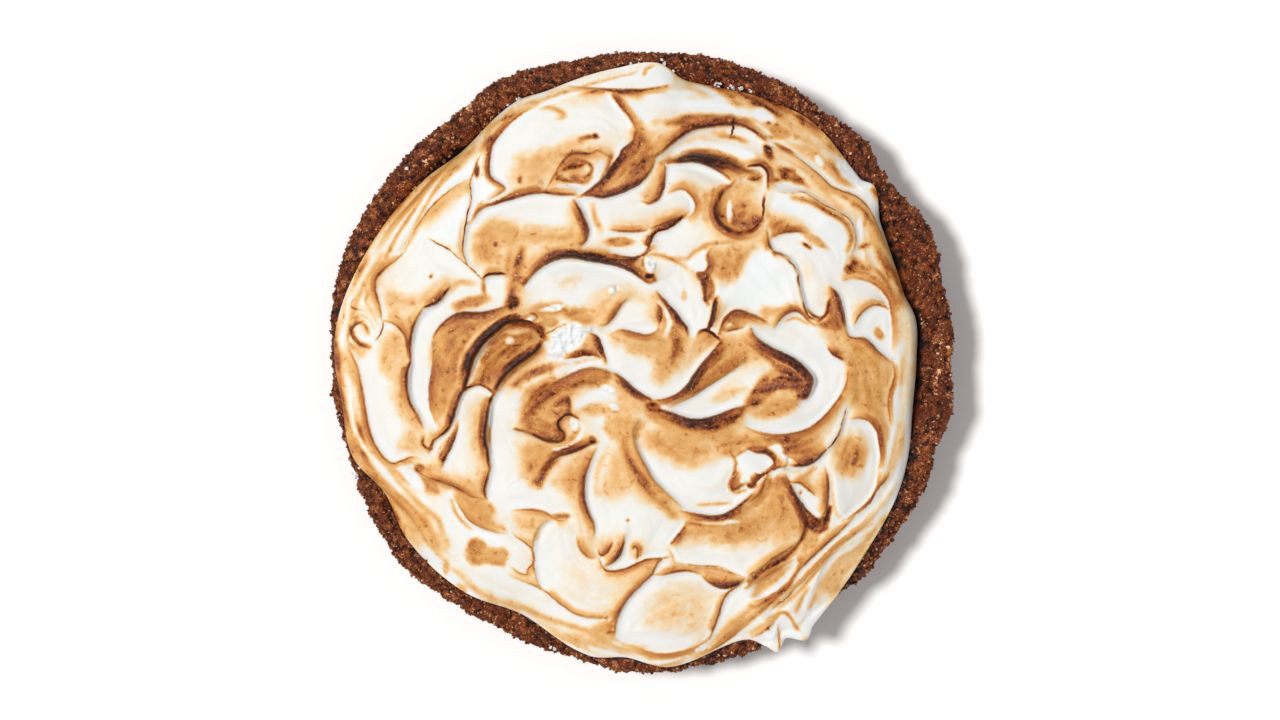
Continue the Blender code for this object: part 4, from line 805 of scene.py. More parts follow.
def sample(grid, x, y):
    """Bilinear reading of a grid at places in millimetres."""
    column = np.clip((x + HALF) / CELL - 0.5, 0, len(grid) - 1.001)
    row = np.clip((y + HALF) / CELL - 0.5, 0, len(grid) - 1.001)
    i, j = row.astype(int), column.astype(int)
    u, v = row - i, column - j
    return (
        grid[i, j] * (1 - u) * (1 - v) + grid[i + 1, j] * u * (1 - v)
        + grid[i, j + 1] * (1 - u) * v + grid[i + 1, j + 1] * u * v
    )


def blurred(grid, rounds):
    """The grid after some rounds of [1 2 1] smoothing along both of its axes."""
    for _ in range(rounds):
        for axis in (0, 1):
            grid = (np.roll(grid, 1, axis) + 2 * grid + np.roll(grid, -1, axis)) / 4
    return grid


def noise(rng, wavelength):
    """Smooth seeded noise on the grid, of about -1 to 1, with lumps of a wavelength in mm."""
    coarse = int(2 * HALF / wavelength) + 4
    values = rng.uniform(-1, 1, (coarse, coarse))
    place = np.arange(CELLS) * CELL / wavelength + 1
    i = place.astype(int)
    t = eased(place - i)
    rows = values[i] * (1 - t)[:, None] + values[i + 1] * t[:, None]
    return rows[:, i] * (1 - t) + rows[:, i + 1] * t


def layered(rng, lumps, mean=0.0):
    """Layers of noise round a mean, each of a strength and a wavelength in mm."""
    return sum((strength * noise(rng, length) for strength, length in lumps), mean)


def smeared(grid, along_x, along_y, length):
    """Line-integral smear of noise along a field of directions: streaks that follow it."""
    x0, y0 = cell_places()
    total = grid.copy()
    steps = int(length / 2 / CELL)
    for sign in (1, -1):
        x, y = x0.copy(), y0.copy()
        dx, dy = sign * along_x, sign * along_y
        for _ in range(steps):
            x += dx * CELL
            y += dy * CELL
            new_x, new_y = sample(along_x, x, y), sample(along_y, x, y)
            flip = np.where(new_x * dx + new_y * dy < 0, -1.0, 1.0)
            dx, dy = new_x * flip, new_y * flip
            total += sample(grid, x, y)
    total /= 2 * steps + 1
    return total / total.std()


class Fixed:
    """Grid cells whose value the folds fix, and the surface that eases between them."""

    def __init__(self):
        self.count = np.zeros((CELLS, CELLS))
        self.total = np.zeros((CELLS, CELLS))

    def add(self, places, values):
        column, row = ((places + HALF) / CELL).astype(int).T
        np.add.at(self.total, (row, column), values)
        np.add.at(self.count, (row, column), 1)

    def relaxed(self, base, reach):
        """Surface through the fixed cells that eases back to the base within the reach in mm."""
        value = None
        for level in range(EASE_LEVELS, -1, -1):
            block = 2**level
            size = CELLS // block
            shape = (size, block, size, block)
            count = self.count.reshape(shape).sum(axis=(1, 3))
            held = count > 0
            target = self.total.reshape(shape).sum(axis=(1, 3)) / np.maximum(count, 1)
            rest = base.reshape(shape).mean(axis=(1, 3))
            pull = (CELL * block / reach) ** 2
            value = rest.copy() if value is None else value.repeat(2, 0).repeat(2, 1)
            for _ in range(EASE_ROUNDS):
                value[held] = target[held]
                edge = np.pad(value, 1, mode="edge")
                beside = edge[:-2, 1:-1] + edge[2:, 1:-1] + edge[1:-1, :-2] + edge[1:-1, 2:]
                value = (beside + pull * rest) / (4 + pull)
            value[held] = target[held]
        return value


# ---------------------------------------------------------------- fields of the meringue

Fields = namedtuple("Fields", "relief toast fine broad")


def oval_reach(x, y, centre, half_axes, turn):
    """Distance from an oval's centre: 0 there, 1 on its outline."""
    c, s = math.cos(math.radians(turn)), math.sin(math.radians(turn))
    dx, dy = x - centre[0], y - centre[1]
    return np.hypot((dx * c + dy * s) / half_axes[0], (dy * c - dx * s) / half_axes[1])


def patches_laid(toast, small):
    """The toast with each large soft patch laid over it, or each small one."""
    x, y = cell_places()
    rng = np.random.default_rng(SEED)
    wobble = layered(rng, PATCH_LUMPS)
    for level, centre, half_axes, turn in PATCHES:
        if (min(half_axes) < SMALL_PATCH) == small:
            reach = oval_reach(x, y, centre, half_axes, turn) + wobble
            toast = toast + (level - toast) * (1 - smoothstep(*PATCH_BORDER, reach))
    return toast


def torn(relief, toast, x, y):
    """Relief and toast where the foam is torn open: rough and white."""
    rng = np.random.default_rng(SEED + 6)
    ragged = np.abs(noise(rng, 4.0)) + 0.7 * np.abs(noise(rng, 2.0)) + 0.6 * noise(rng, 1.0)
    wobble = layered(rng, TORN_LUMPS)
    for centre, half_axes, turn in TORN:
        reach = oval_reach(x, y, centre, half_axes, turn) + wobble
        inside = 1 - smoothstep(*TORN_BORDER, reach)
        toast = toast + (TORN_TOAST - toast) * inside
        relief = relief + TORN_RELIEF * (ragged - 0.3) * inside
    return relief, toast


def cells_near(line, margin):
    """The grid's cells near a line, their x and y, and their distances to its points, in mm."""
    low = np.floor((line.min(axis=0) - margin + HALF) / CELL).astype(int)
    high = np.ceil((line.max(axis=0) + margin + HALF) / CELL).astype(int)
    rows = np.arange(max(low[1], 0), min(high[1], CELLS))
    columns = np.arange(max(low[0], 0), min(high[0], CELLS))
    x = ((columns + 0.5) * CELL - HALF)[None, :, None]
    y = ((rows + 0.5) * CELL - HALF)[:, None, None]
    gap = np.hypot(x - line[:, 0], y - line[:, 1])
    return np.ix_(rows, columns), x, y, gap


def areas_laid(toast):
    """The toast with each outlined area laid over it; a toasted one keeps most darker toast."""
    rng = np.random.default_rng(SEED + 7)
    uneven = layered(rng, AREA_LUMPS)
    cloud = layered(rng, CLOUD_LUMPS, CLOUD_MEAN)
    for level, softness, *points in AREAS:
        soft = AREA_SOFT * softness
        line, _ = smooth_line(points + points[:1], 0.8)
        patch, x, y, gap = cells_near(line, soft + 2.3)
        (x0, y0), (x1, y1) = line[:-1].T, line[1:].T
        rise = np.where(y1 == y0, 1e-9, y1 - y0)
        crossed = ((y0 > y) != (y1 > y)) & (x < (x1 - x0) * (y - y0) / rise + x0)
        inside = crossed.sum(axis=2) % 2 == 1
        depth = np.where(inside, 1, -1) * gap.min(axis=2) + uneven[patch]
        change = (level * cloud[patch] - toast[patch]) * smoothstep(-soft, 2 * soft, depth)
        keep = 1.0 if level < 0.1 else DARK_KEPT
        toast[patch] += np.where(change > 0, change, keep * change)
    return toast


def streaks_laid(toast):
    """The toast with each narrow streak painted along its line."""
    for level, half_width, *points in STREAKS:
        line, _ = smooth_line(points, 0.6)
        patch, _, _, gap = cells_near(line, 3 * half_width)
        taper = tapered(line, 0.35)[gap.argmin(axis=2)]
        weight = taper * np.exp(-((gap.min(axis=2) / half_width) ** 2))
        toast[patch] += (level - toast[patch]) * weight
    return toast


def edge_toasted(base, x, y):
    """The base toast, raised in the thin outer sweeps of the meringue."""
    to_edge = inside_edge(MERINGUE_EDGE, x, y)
    rng = np.random.default_rng(SEED + 5)
    rim = radius_at(RIM_TOAST, azimuth_of(x, y)) + layered(rng, RIM_LUMPS)
    rim += EDGE_TOAST * (1 - smoothstep(*EDGE_TOAST_FADE, to_edge))
    return base + np.clip(rim - base, 0, None) * (1 - smoothstep(*RIM_FADE, to_edge))


def folds_fixed(base):
    """Relief and toast beside the folds, and the folds' directions.

    A direction is kept as the cosine and sine of its doubled angle, which are the same for
    both ways along a line.
    """
    height, toast, double_x, double_y = Fixed(), Fixed(), Fixed(), Fixed()
    for step, toast_left, toast_right, _, _, *points in FOLDS:
        line, along = smooth_line(points, CELL / 3)
        taper = tapered(line, 0.12)
        rise = STEP_HEIGHT * step * taper
        sides = ((SIDE, HIGH_SHARE, toast_left), (-SIDE, HIGH_SHARE - 1, toast_right))
        for side, share, level in sides:
            place = line + side * CELL * leftward(along)
            if step:
                height.add(place, share * rise)
            if level >= 0:
                under = sample(base, place[:, 0], place[:, 1])
                toast.add(place, under + (level - under) * taper)
        double_x.add(line, along[:, 0] ** 2 - along[:, 1] ** 2)
        double_y.add(line, 2 * along[:, 0] * along[:, 1])
    return height, toast, double_x, double_y


def streak_directions(double_x, double_y, x, y, radius):
    """Directions that follow the folds and, away from them, run round the pie."""
    round_x, round_y = (y**2 - x**2) / radius**2, -2 * x * y / radius**2
    dx = double_x.relaxed(round_x, DIRECTION_REACH)
    dy = double_y.relaxed(round_y, DIRECTION_REACH)
    angle = np.arctan2(dy, dx) / 2
    return np.cos(angle), np.sin(angle)


def all_toasted(toast, broad, radius):
    """The toast from the folds and the edge, with all that lies over it."""
    golden = GOLD_LIFT * smoothstep(*GOLD_RISE, toast) * (1 - smoothstep(*GOLD_FALL, toast))
    toast = toast + golden
    outer = smoothstep(*RIM_STREAKS_FROM, radius)
    toast += np.clip(RIM_STREAKS * broad, -0.25, 0.2) * outer * smoothstep(0.1, 0.3, toast)
    toast = patches_laid(streaks_laid(areas_laid(toast)), True)
    crisp = toast + TOAST_CRISP * (toast - blurred(toast, SOFT_ROUNDS))
    return np.minimum(crisp, np.maximum(toast, CRISP_TOP))


def meringue_fields():
    """Grids of relief (mm), of toast (0 to 1) and of the streaks that follow the folds."""
    x, y = cell_places()
    radius = np.hypot(x, y) + 1e-6
    base = patches_laid(np.full((CELLS, CELLS), BASE_TOAST), False)
    height, toast, double_x, double_y = folds_fixed(base)
    relief = blurred(height.relaxed(np.zeros((CELLS, CELLS)), HEIGHT_REACH), CREST_ROUNDS)
    toasted = toast.relaxed(edge_toasted(base, x, y), TOAST_REACH)
    along_x, along_y = streak_directions(double_x, double_y, x, y, radius)
    rng = np.random.default_rng(SEED + 1)
    fine, broad = (smeared(noise(rng, width), along_x, along_y, length)
                   for width, length in (FINE_STREAKS, BROAD_STREAKS))
    relief, toasted = torn(relief, all_toasted(toasted, broad, radius), x, y)
    return Fields(relief, np.clip(toasted, 0, 1), fine, broad)


def crust_top(x, y):
    """Height of the crust's upper surface at a place, without its crumbs."""
    inset, height = np.array(RIM_SECTION[:TOP_KNOTS][::-1]).T
    return np.interp(inside_edge(RIM_EDGE, x, y), inset, height)


def steep_side(azimuth):
    """1 on the side where the meringue stops short of the rim with a steep edge, else 0."""
    return smoothstep(48, 34, turned_from(STEEP_AZIMUTH, azimuth))


def meringue_heights(fields, x, y):
    """Top and underside of the meringue, in mm, at places on it."""
    azimuth = azimuth_of(x, y)
    edge_radius = radius_at(MERINGUE_EDGE, azimuth)
    share = np.clip(np.hypot(x, y) / edge_radius, 0, 1)
    to_edge = (1 - share) * edge_radius
    dome = EDGE_HEIGHT + DOME_RISE * np.clip(1 - share**DOME_POWERS[0], 0, 1) ** DOME_POWERS[1]
    inward = np.clip(to_edge / RELIEF_FADE, 0, 1)
    rise = sample(fields.relief, x, y) * (EDGE_RELIEF + (1 - EDGE_RELIEF) * inward)
    brown = smoothstep(*BROWN_TOAST, sample(fields.toast, x, y))
    fine_relief = FINE_RELIEF + BROWN_RELIEF * brown
    rise += BROAD_RELIEF * sample(fields.broad, x, y) + fine_relief * sample(fields.fine, x, y)
    under = crust_top(x, y) + GAP
    skirt = SKIRT_WIDTH - STEEPER_SKIRT * steep_side(azimuth)
    rounding = np.sqrt(1 - (1 - np.clip(to_edge / skirt, 0, 1)) ** 2)
    inner_top = np.maximum(dome + rise, under + LEAST_THICKNESS)
    top = under + EDGE_THICKNESS + (inner_top - under - EDGE_THICKNESS) * rounding
    hanging = np.clip((TIP_START - inside_edge(RIM_EDGE, x, y)) / TIP_START, 0, 1)
    tip_top = RIM_HEIGHT + GAP + TIP_THICKNESS * (TIP_EDGE + (1 - TIP_EDGE) * rounding)
    under = under * (1 - hanging) + (RIM_HEIGHT + GAP) * hanging
    top = top * (1 - hanging) + tip_top * hanging
    return top, under


# ---------------------------------------------------------------- meshes

def new_piece(name, points, faces, material, smooth=True):
    """A mesh object from points in mm."""
    mesh = bpy.data.meshes.new(name)
    mesh.from_pydata((np.asarray(points) * MM).tolist(), [], faces)
    mesh.update()
    mesh.materials.append(material)
    if smooth:
        mesh.shade_smooth()
    else:
        mesh.shade_flat()
    piece = bpy.data.objects.new(name, mesh)
    bpy.context.scene.collection.objects.link(piece)
    return piece


def thinned(piece, ratio):
    """Leave a share of the piece's triangles, fewer where it is flat."""
    piece.modifiers.new("fewer triangles", "DECIMATE").ratio = ratio
    graph = bpy.context.evaluated_depsgraph_get()
    mesh = bpy.data.meshes.new_from_object(piece.evaluated_get(graph))
    piece.modifiers.clear()
    piece.data = mesh


def vertex_places(mesh):
    """The mesh's points in mm."""
    flat = np.empty(3 * len(mesh.vertices))
    mesh.vertices.foreach_get("co", flat)
    return flat.reshape(-1, 3) / MM


def set_places(mesh, points):
    """Move the mesh's points to places in mm."""
    mesh.vertices.foreach_set("co", (points * MM).ravel())
    mesh.update()


def set_attribute(mesh, name, values):
    """A number for each point of the mesh, for the material to read."""
    layer = mesh.attributes.new(name, "FLOAT", "POINT")
    layer.data.foreach_set("value", np.asarray(values, float))


def set_bake_map(mesh, places):
    """Where each face corner lies in the bake map named OFBake, from 0 to 1."""
    layer = mesh.uv_layers.new(name="OFBake")
    layer.data.foreach_set("uv", np.asarray(places, np.float32).ravel())


def disc(rings):
    """Disc of even triangles: ring k holds 6 k places. Share of the radius, azimuth, faces."""
    share, azimuth, faces = [0.0], [0.0], []
    for k in range(1, rings + 1):
        share.extend([k / rings] * (6 * k))
        azimuth.extend(360.0 * i / (6 * k) for i in range(6 * k))
        inner_start = 1 + 3 * (k - 1) * (k - 2) if k > 1 else 0
        outer_start = 1 + 3 * k * (k - 1)
        inner_count = max(1, 6 * (k - 1))
        for side in range(6):
            for i in range(k):
                outer = outer_start + side * k + i
                following = outer_start + (side * k + i + 1) % (6 * k)
                inner = inner_start + (side * (k - 1) + i) % inner_count
                faces.append((inner, outer, following))
                if i < k - 1:
                    beside = inner_start + (side * (k - 1) + i + 1) % inner_count
                    faces.append((inner, following, beside))
    return np.array(share), np.array(azimuth), faces


def fold_samples():
    """A row for each point along the crests: place, direction, fold, ink, band and ink width."""
    rows = []
    for fold, (step, toast_left, _, ink, width, *points) in enumerate(FOLDS):
        line, along = smooth_line(points, 0.4)
        taper = tapered(line, 0.05)
        band = toast_left + BAND_EXTRA if toast_left > BAND_FROM else 0.0
        rows.append(np.column_stack((
            line + INK_ASIDE * step * leftward(along), along, np.full(len(line), fold),
            ink * taper, band * taper, np.full(len(line), width),
        )))
    return np.concatenate(rows)


def fold_distance(x, y):
    """For each place: mm across to the nearest fold (left is positive), its ink, band, width."""
    samples = fold_samples()
    line, along, fold = samples[:, :2], samples[:, 2:4], samples[:, 4]
    tree = KDTree(len(line))
    for i, (a, b) in enumerate(line):
        tree.insert((a, b, 0), i)
    tree.balance()

    def side(i, a, b):
        return along[i, 0] * (b - line[i, 1]) - along[i, 1] * (a - line[i, 0])

    def is_shared(a, b, i, gap):
        """Whether a second fold, which has the place on its other side, is about as near."""
        if not SHARED_FROM < gap < INK_FADE[1]:
            return False
        here = side(i, a, b)
        return any(fold[j] != fold[i] and side(j, a, b) * here < 0
                   for _, j, _ in tree.find_range((a, b, 0), gap + SHARED_WITHIN))

    found = [tree.find((a, b, 0))[1:] for a, b in zip(x, y)]
    nearest = np.array([i for i, _ in found])
    shared = np.array([is_shared(a, b, i, gap) for a, b, (i, gap) in zip(x, y, found)])
    offset = np.stack((x, y), axis=1) - line[nearest]
    tangent = along[nearest]
    across = tangent[:, 0] * offset[:, 1] - tangent[:, 1] * offset[:, 0]
    past = np.abs((tangent * offset).sum(axis=1))
    near = 1 - smoothstep(*INK_FADE, np.hypot(across, past))
    near = np.where(shared, 0, near * (1 - smoothstep(*END_FADE, past)))
    ink, band, width = samples[nearest, 5:].T
    return np.clip(across, -5, 5), ink * near, band * near, width


def meringue_shell(fields):
    """Points and faces of the whole topping: folded top, edge down to the crust, underside."""
    share, azimuth, faces = disc(TOP_RINGS)
    edge_radius = radius_at(MERINGUE_EDGE, azimuth)
    x = edge_radius * share * np.cos(np.radians(azimuth))
    y = edge_radius * share * np.sin(np.radians(azimuth))
    points = [np.stack((x, y, meringue_heights(fields, x, y)[0]), axis=1)]
    count = len(x)
    rim = 6 * TOP_RINGS
    above = start = count - rim
    for inset in UNDER_INSETS:
        scale = 1 - inset / edge_radius[start:]
        a, b = x[start:] * scale, y[start:] * scale
        points.append(np.stack((a, b, meringue_heights(fields, a, b)[1]), axis=1))
        for k in range(rim):
            n = (k + 1) % rim
            faces.append((above + k, count + k, count + n, above + n))
        above = count
        count += rim
    faces.append(tuple(above + k for k in reversed(range(rim))))
    triangles = 6 * TOP_RINGS**2 + (2 * len(UNDER_INSETS) + 1) * rim
    return np.concatenate(points), faces, triangles


def make_meringue(fields, material):
    """The whole topping, with what its material reads on its points."""
    points, faces, triangles = meringue_shell(fields)
    piece = new_piece("meringue_top", points, faces, material)
    thinned(piece, MERINGUE_TRIANGLES / triangles)
    mesh = piece.data
    place = vertex_places(mesh)
    x, y, z = place.T
    for name in ("toast", "fine", "broad"):
        set_attribute(mesh, name, sample(getattr(fields, name), x, y))
    for name, values in zip(("across", "ink", "band", "width"), fold_distance(x, y)):
        set_attribute(mesh, name, values)
    top, under = meringue_heights(fields, x, y)
    lay_meringue_out(mesh, place, z < under + EDGE_THICKNESS / 2)
    lean_crests(mesh, place, fields.relief, smoothstep(0.3, 0.7, (z - under) / (top - under)))
    return piece


def lay_meringue_out(mesh, place, low):
    """Bake map: the top as one disc that spreads at its edge, the underside as a small one."""
    corner = np.empty(len(mesh.loops), np.int32)
    mesh.loops.foreach_get("vertex_index", corner)
    start = np.empty(len(mesh.polygons), np.int32)
    mesh.polygons.foreach_get("loop_start", start)
    under = np.logical_and.reduceat(low[corner], start)
    under = np.repeat(under, np.diff(np.append(start, len(corner))))
    x, y, z = place[corner].T
    azimuth, radius = np.arctan2(y, x), np.hypot(x, y)
    top_reach = (radius + np.clip(EDGE_HEIGHT - z, 0, None)) * BAKE_TOP
    reach = np.where(under, radius * BAKE_UNDER, top_reach)
    middle = np.where(under, *BAKE_MIDDLES)
    set_bake_map(mesh, np.stack((middle + reach * np.cos(azimuth),
                                 middle + reach * np.sin(azimuth)), axis=1))


def lean_crests(mesh, place, relief, upper):
    """Push the crests of the upper side out over the hollows beside them."""
    soft = blurred(relief, SOFT_ROUNDS)
    slope_y, slope_x = np.gradient(soft, CELL)
    x, y, _ = place.T
    proud = np.clip(sample(relief - soft, x, y), 0, None)
    inward = smoothstep(*LEAN_INSET, inside_edge(MERINGUE_EDGE, x, y))
    push = CREST_LEAN * proud * upper * inward
    moved = place.copy()
    for axis, slope in enumerate((slope_x, slope_y)):
        moved[:, axis] -= np.clip(push * sample(slope, x, y), -LEAN_LIMIT, LEAN_LIMIT)
    set_places(mesh, moved)


def crust_section():
    """The wall's section at every sector: radii, heights and outward directions, ring by ring."""
    azimuth = np.arange(SECTORS) * 360.0 / SECTORS
    edge = radius_at(RIM_EDGE, azimuth)
    foot = FLOOR_RADIUS + FOOT_FOLLOWS * (edge - edge.mean())
    corners = [(edge - inset, height) for inset, height in RIM_SECTION]
    corners += [(foot + WALL_END[0], WALL_END[1]), (foot, 0.0)]
    knots = np.array([np.stack((radius, np.full(SECTORS, height)), axis=1)
                      for radius, height in corners])
    padded = with_ends(knots)
    rings = []
    for i in range(len(knots) - 1):
        length = np.linalg.norm(knots[i + 1] - knots[i], axis=1).mean()
        count = max(2, round(length / RING_STEP))
        is_round = i < len(knots) - 3
        for t in np.arange(count) / count:
            straight = knots[i] + (knots[i + 1] - knots[i]) * t
            rings.append(straight + is_round * (curve(padded, i, t) - straight))
    rings.append(knots[-1])
    section = np.array(rings)
    along = np.gradient(section, axis=0)
    outward = np.stack((-along[..., 1], along[..., 0]), axis=2)
    outward /= np.linalg.norm(outward, axis=2, keepdims=True) + 1e-9
    return azimuth, section, outward


def pebbles(rings, rng):
    """Packed crumbs as relief, in mm, and the tone of the crumb that each point lies on."""
    relief = np.zeros((rings, SECTORS))
    tone = np.full((rings, SECTORS), BETWEEN_TONE)
    count = int(rings * SECTORS * PRESSED_SHARE)
    size = rng.uniform(*PRESSED_SIZES, count) * (1 + 0.7 * (rng.random(count) > COMMON_SHARE))
    row = rng.uniform(0, rings, count)
    column = rng.uniform(0, SECTORS, count)
    lift = rng.uniform(*PRESSED_LIFTS, count)
    shade = np.clip(rng.normal(*PRESSED_TONES, count), 0, 1)
    near = np.arange(-3, 4)
    for i in range(count):
        r, c = int(row[i]) + near, int(column[i]) + near
        dy = (r - row[i]) * RING_STEP / size[i]
        dx = (c - column[i]) * (GIRTH / SECTORS) / size[i]
        inside = 1 - dy[:, None] ** 2 - dx[None, :] ** 2
        cap = size[i] * PRESSED_ROUND * np.sqrt(np.clip(inside, 0, 1))
        bump = np.where(inside > 0, cap + lift[i], 0)
        patch = np.ix_(np.clip(r, 0, rings - 1), c % SECTORS)
        wins = bump > relief[patch]
        relief[patch] = np.where(wins, bump, relief[patch])
        tone[patch] = np.where(wins, shade[i], tone[patch])
    return relief, tone


def ring_noise(rng, rings, length):
    """Seeded lumps of about -1 to 1 on the crust's rings and sectors, of a length in mm."""
    rows = int(rings * RING_STEP / length) + 3
    columns = int(GIRTH / length)
    values = rng.uniform(-1, 1, (rows, columns))
    r = np.arange(rings) * RING_STEP / length
    c = np.arange(SECTORS) * columns / SECTORS
    i, j = r.astype(int), c.astype(int)
    u, v = eased(r - i), eased(c - j)
    after = (j + 1) % columns
    lower = values[i][:, j] * (1 - v) + values[i][:, after] * v
    upper = values[i + 1][:, j] * (1 - v) + values[i + 1][:, after] * v
    return lower * (1 - u)[:, None] + upper * u[:, None]


def ring_faces(rings):
    """Quads between the crust's rings, and the two flat faces inside the first and the last."""
    faces = []
    for start in range(0, (rings - 1) * SECTORS, SECTORS):
        for k in range(SECTORS):
            n = (k + 1) % SECTORS
            faces.append((start + k, start + SECTORS + k, start + SECTORS + n, start + n))
    faces.append(tuple(range(SECTORS)))
    faces.append(tuple((rings - 1) * SECTORS + k for k in reversed(range(SECTORS))))
    return faces


def with_painted_shade(tone, relief, places, azimuth):
    """The crumbs' tones with painted shade deep between them and a painted shadow in the hollow beside
    the meringue.
    """
    # Painted shade, deep between the crumbs.
    tone = tone - CAVITY_SHADE * (1 - smoothstep(0.0, 1.0, relief))
    # Painted shadow, in the hollow beside the meringue.
    outside = places[..., 0] - radius_at(MERINGUE_EDGE, azimuth)
    upward = smoothstep(*HOLLOW_SHADE_HEIGHTS, places[..., 1])
    in_hollow_shade = 1 - smoothstep(0.3, 1.0, outside / radius_at(HOLLOW_SHADOW_WIDTHS, azimuth))
    return tone - HOLLOW_SHADE * upward * in_hollow_shade


def make_crust(material):
    """Crumb crust: section turned round the pie, with crumbs standing out of it."""
    azimuth, section, outward = crust_section()
    rings = len(section)
    rng = np.random.default_rng(SEED + 2)
    relief, tone = pebbles(rings, rng)
    lumps = sum(height * ring_noise(rng, rings, length) for length, height in LUMPS)
    rough = smoothstep(*ROUGH_FROM, np.arange(rings) * RING_STEP)
    rough *= 1 - smoothstep(rings - 8, rings - 2, np.arange(rings))
    from_pressed = smoothstep(*PRESSED_FADE, turned_from(PRESSED_SIDE, azimuth))
    loose = PRESSED_FLAT[0] + PRESSED_FLAT[1] * from_pressed
    push = (relief - PRESSED_DEPTH + lumps) * rough[:, None] * loose
    places = section + push[..., None] * outward
    turn = np.radians(azimuth)
    x, y = places[..., 0] * np.cos(turn), places[..., 0] * np.sin(turn)
    surface = np.stack((x, y, np.maximum(places[..., 1], 0.0)), axis=2)
    piece = new_piece("crust_wall", surface.reshape(-1, 3), ring_faces(rings), material)
    set_attribute(piece.data, "tone", with_painted_shade(tone, relief, places, azimuth).ravel())
    lay_crust_out(piece.data, rings)
    return piece, surface, outward


def lay_crust_out(mesh, rings):
    """Bake map: the wall as three long strips, its two flat faces as small discs above them."""
    ring, sector = np.divmod(np.arange((rings - 1) * SECTORS), SECTORS)
    strip, local = np.divmod(sector, SECTORS // 3)
    along = (local[:, None] + (0, 0, 1, 1)) / (SECTORS // 3)
    down = (ring[:, None] + (0, 1, 1, 0)) / (rings - 1)
    u = STRIP_GAP + (1 - 2 * STRIP_GAP) * along
    v = STRIP_HEIGHT * strip[:, None] + STRIP_GAP + (STRIP_HEIGHT - 2 * STRIP_GAP) * down
    turn = np.arange(SECTORS) * 2 * math.pi / SECTORS
    flat = [np.stack((a + FLAT_RADIUS * np.cos(way), b + FLAT_RADIUS * np.sin(way)), axis=1)
            for (a, b), way in zip(FLAT_MIDDLES, (turn, turn[::-1]))]
    set_bake_map(mesh, np.concatenate((np.stack((u, v), axis=2).reshape(-1, 2), *flat)))


GOLDEN = (1 + 5**0.5) / 2
ICOSAHEDRON = np.array([
    (-1, GOLDEN, 0), (1, GOLDEN, 0), (-1, -GOLDEN, 0), (1, -GOLDEN, 0),
    (0, -1, GOLDEN), (0, 1, GOLDEN), (0, -1, -GOLDEN), (0, 1, -GOLDEN),
    (GOLDEN, 0, -1), (GOLDEN, 0, 1), (-GOLDEN, 0, -1), (-GOLDEN, 0, 1),
]) / math.hypot(1, GOLDEN)
ICOSAHEDRON_FACES = np.array([
    (0, 11, 5), (0, 5, 1), (0, 1, 7), (0, 7, 10), (0, 10, 11), (1, 5, 9), (5, 11, 4),
    (11, 10, 2), (10, 7, 6), (7, 1, 8), (3, 9, 4), (3, 4, 2), (3, 2, 6), (3, 6, 8), (3, 8, 9),
    (4, 9, 5), (2, 4, 11), (6, 2, 10), (8, 6, 7), (9, 8, 1),
])


def make_grains(name, centres, sizes, tones, rng, material):
    """Joined crumbs: an uneven, turned icosahedron at each centre."""
    count, corners = len(centres), len(ICOSAHEDRON)
    shape = ICOSAHEDRON * rng.uniform(*GRAIN_CORNERS, (count, corners, 1))
    shape *= rng.uniform(*GRAIN_STRETCH, (count, 1, 3))
    turn = np.linalg.qr(rng.normal(size=(count, 3, 3)))[0]
    points = centres[:, None] + sizes[:, None, None] * np.einsum("nij,nkj->nki", turn, shape)
    points = points.reshape(-1, 3)
    points[:, 2] = np.maximum(points[:, 2], LEAST_HEIGHT)
    is_turned = (np.linalg.det(turn) > 0)[:, None, None]
    faces = np.where(is_turned, ICOSAHEDRON_FACES, ICOSAHEDRON_FACES[:, [0, 2, 1]])
    faces = (faces + corners * np.arange(count)[:, None, None]).reshape(-1, 3)
    piece = new_piece(name, points, faces.tolist(), material, smooth=False)
    set_attribute(piece.data, "tone", np.repeat(tones, corners))
    side = math.ceil(math.sqrt(count))
    row, column = np.divmod(np.arange(count), side)
    cell = np.stack((column, row), axis=1)[:, None] + 0.5
    places = (cell + 0.3 * shape[..., :2]).reshape(-1, 2) / side
    set_bake_map(piece.data, places[faces.ravel()])
    return piece


def scatter_on_crust(surface, outward, rings, count, rng):
    """Random places between two rings of the crust, with the directions out of it."""
    ring = rng.uniform(*rings, count)
    sector = rng.uniform(0, SECTORS, count)
    i, j = ring.astype(int), sector.astype(int)
    u, v = (ring - i)[:, None], (sector - j)[:, None]
    n = (j + 1) % SECTORS
    place = (surface[i, j] * (1 - u) * (1 - v) + surface[i + 1, j] * u * (1 - v)
             + surface[i, n] * (1 - u) * v + surface[i + 1, n] * u * v)
    turn = np.radians(sector * 360 / SECTORS)
    flat, rise = outward[i, j, 0], outward[i, j, 1]
    return place, np.stack((flat * np.cos(turn), flat * np.sin(turn), rise), axis=1)


def make_crumbs(loose, end, surface, outward, rng, material):
    """Loose crumbs that stick to the crust down to its ring `end`, most of them small."""
    name, start, count, (least, largest) = loose
    rings = (int(start / RING_STEP), end)
    place, out = scatter_on_crust(surface, outward, rings, count, rng)
    size = least + (largest - least) * rng.random(count) ** 2
    centres = place + out * (size * rng.uniform(0.0, 0.5, count))[:, None]
    tones = np.clip(rng.normal(*LOOSE_TONES, count), 0, 1)
    return make_grains(name, centres, size, tones, rng, material)


def make_flecks(rng, material):
    """Bits of meringue that fell on the crust, each of a few joined lumps."""
    centres = []
    for (x, y), spread, count in FLECKS:
        centres.extend((x, y) + rng.normal(0, spread, (count, 2)))
    x, y = np.array(centres).T
    z = crust_top(x, y) + rng.uniform(0.5, 1.1, len(x))
    sizes = rng.uniform(0.4, 0.95, len(x))
    return make_grains("meringue_flecks", np.stack((x, y, z), axis=1), sizes, 0 * x, rng, material)


# ---------------------------------------------------------------- materials

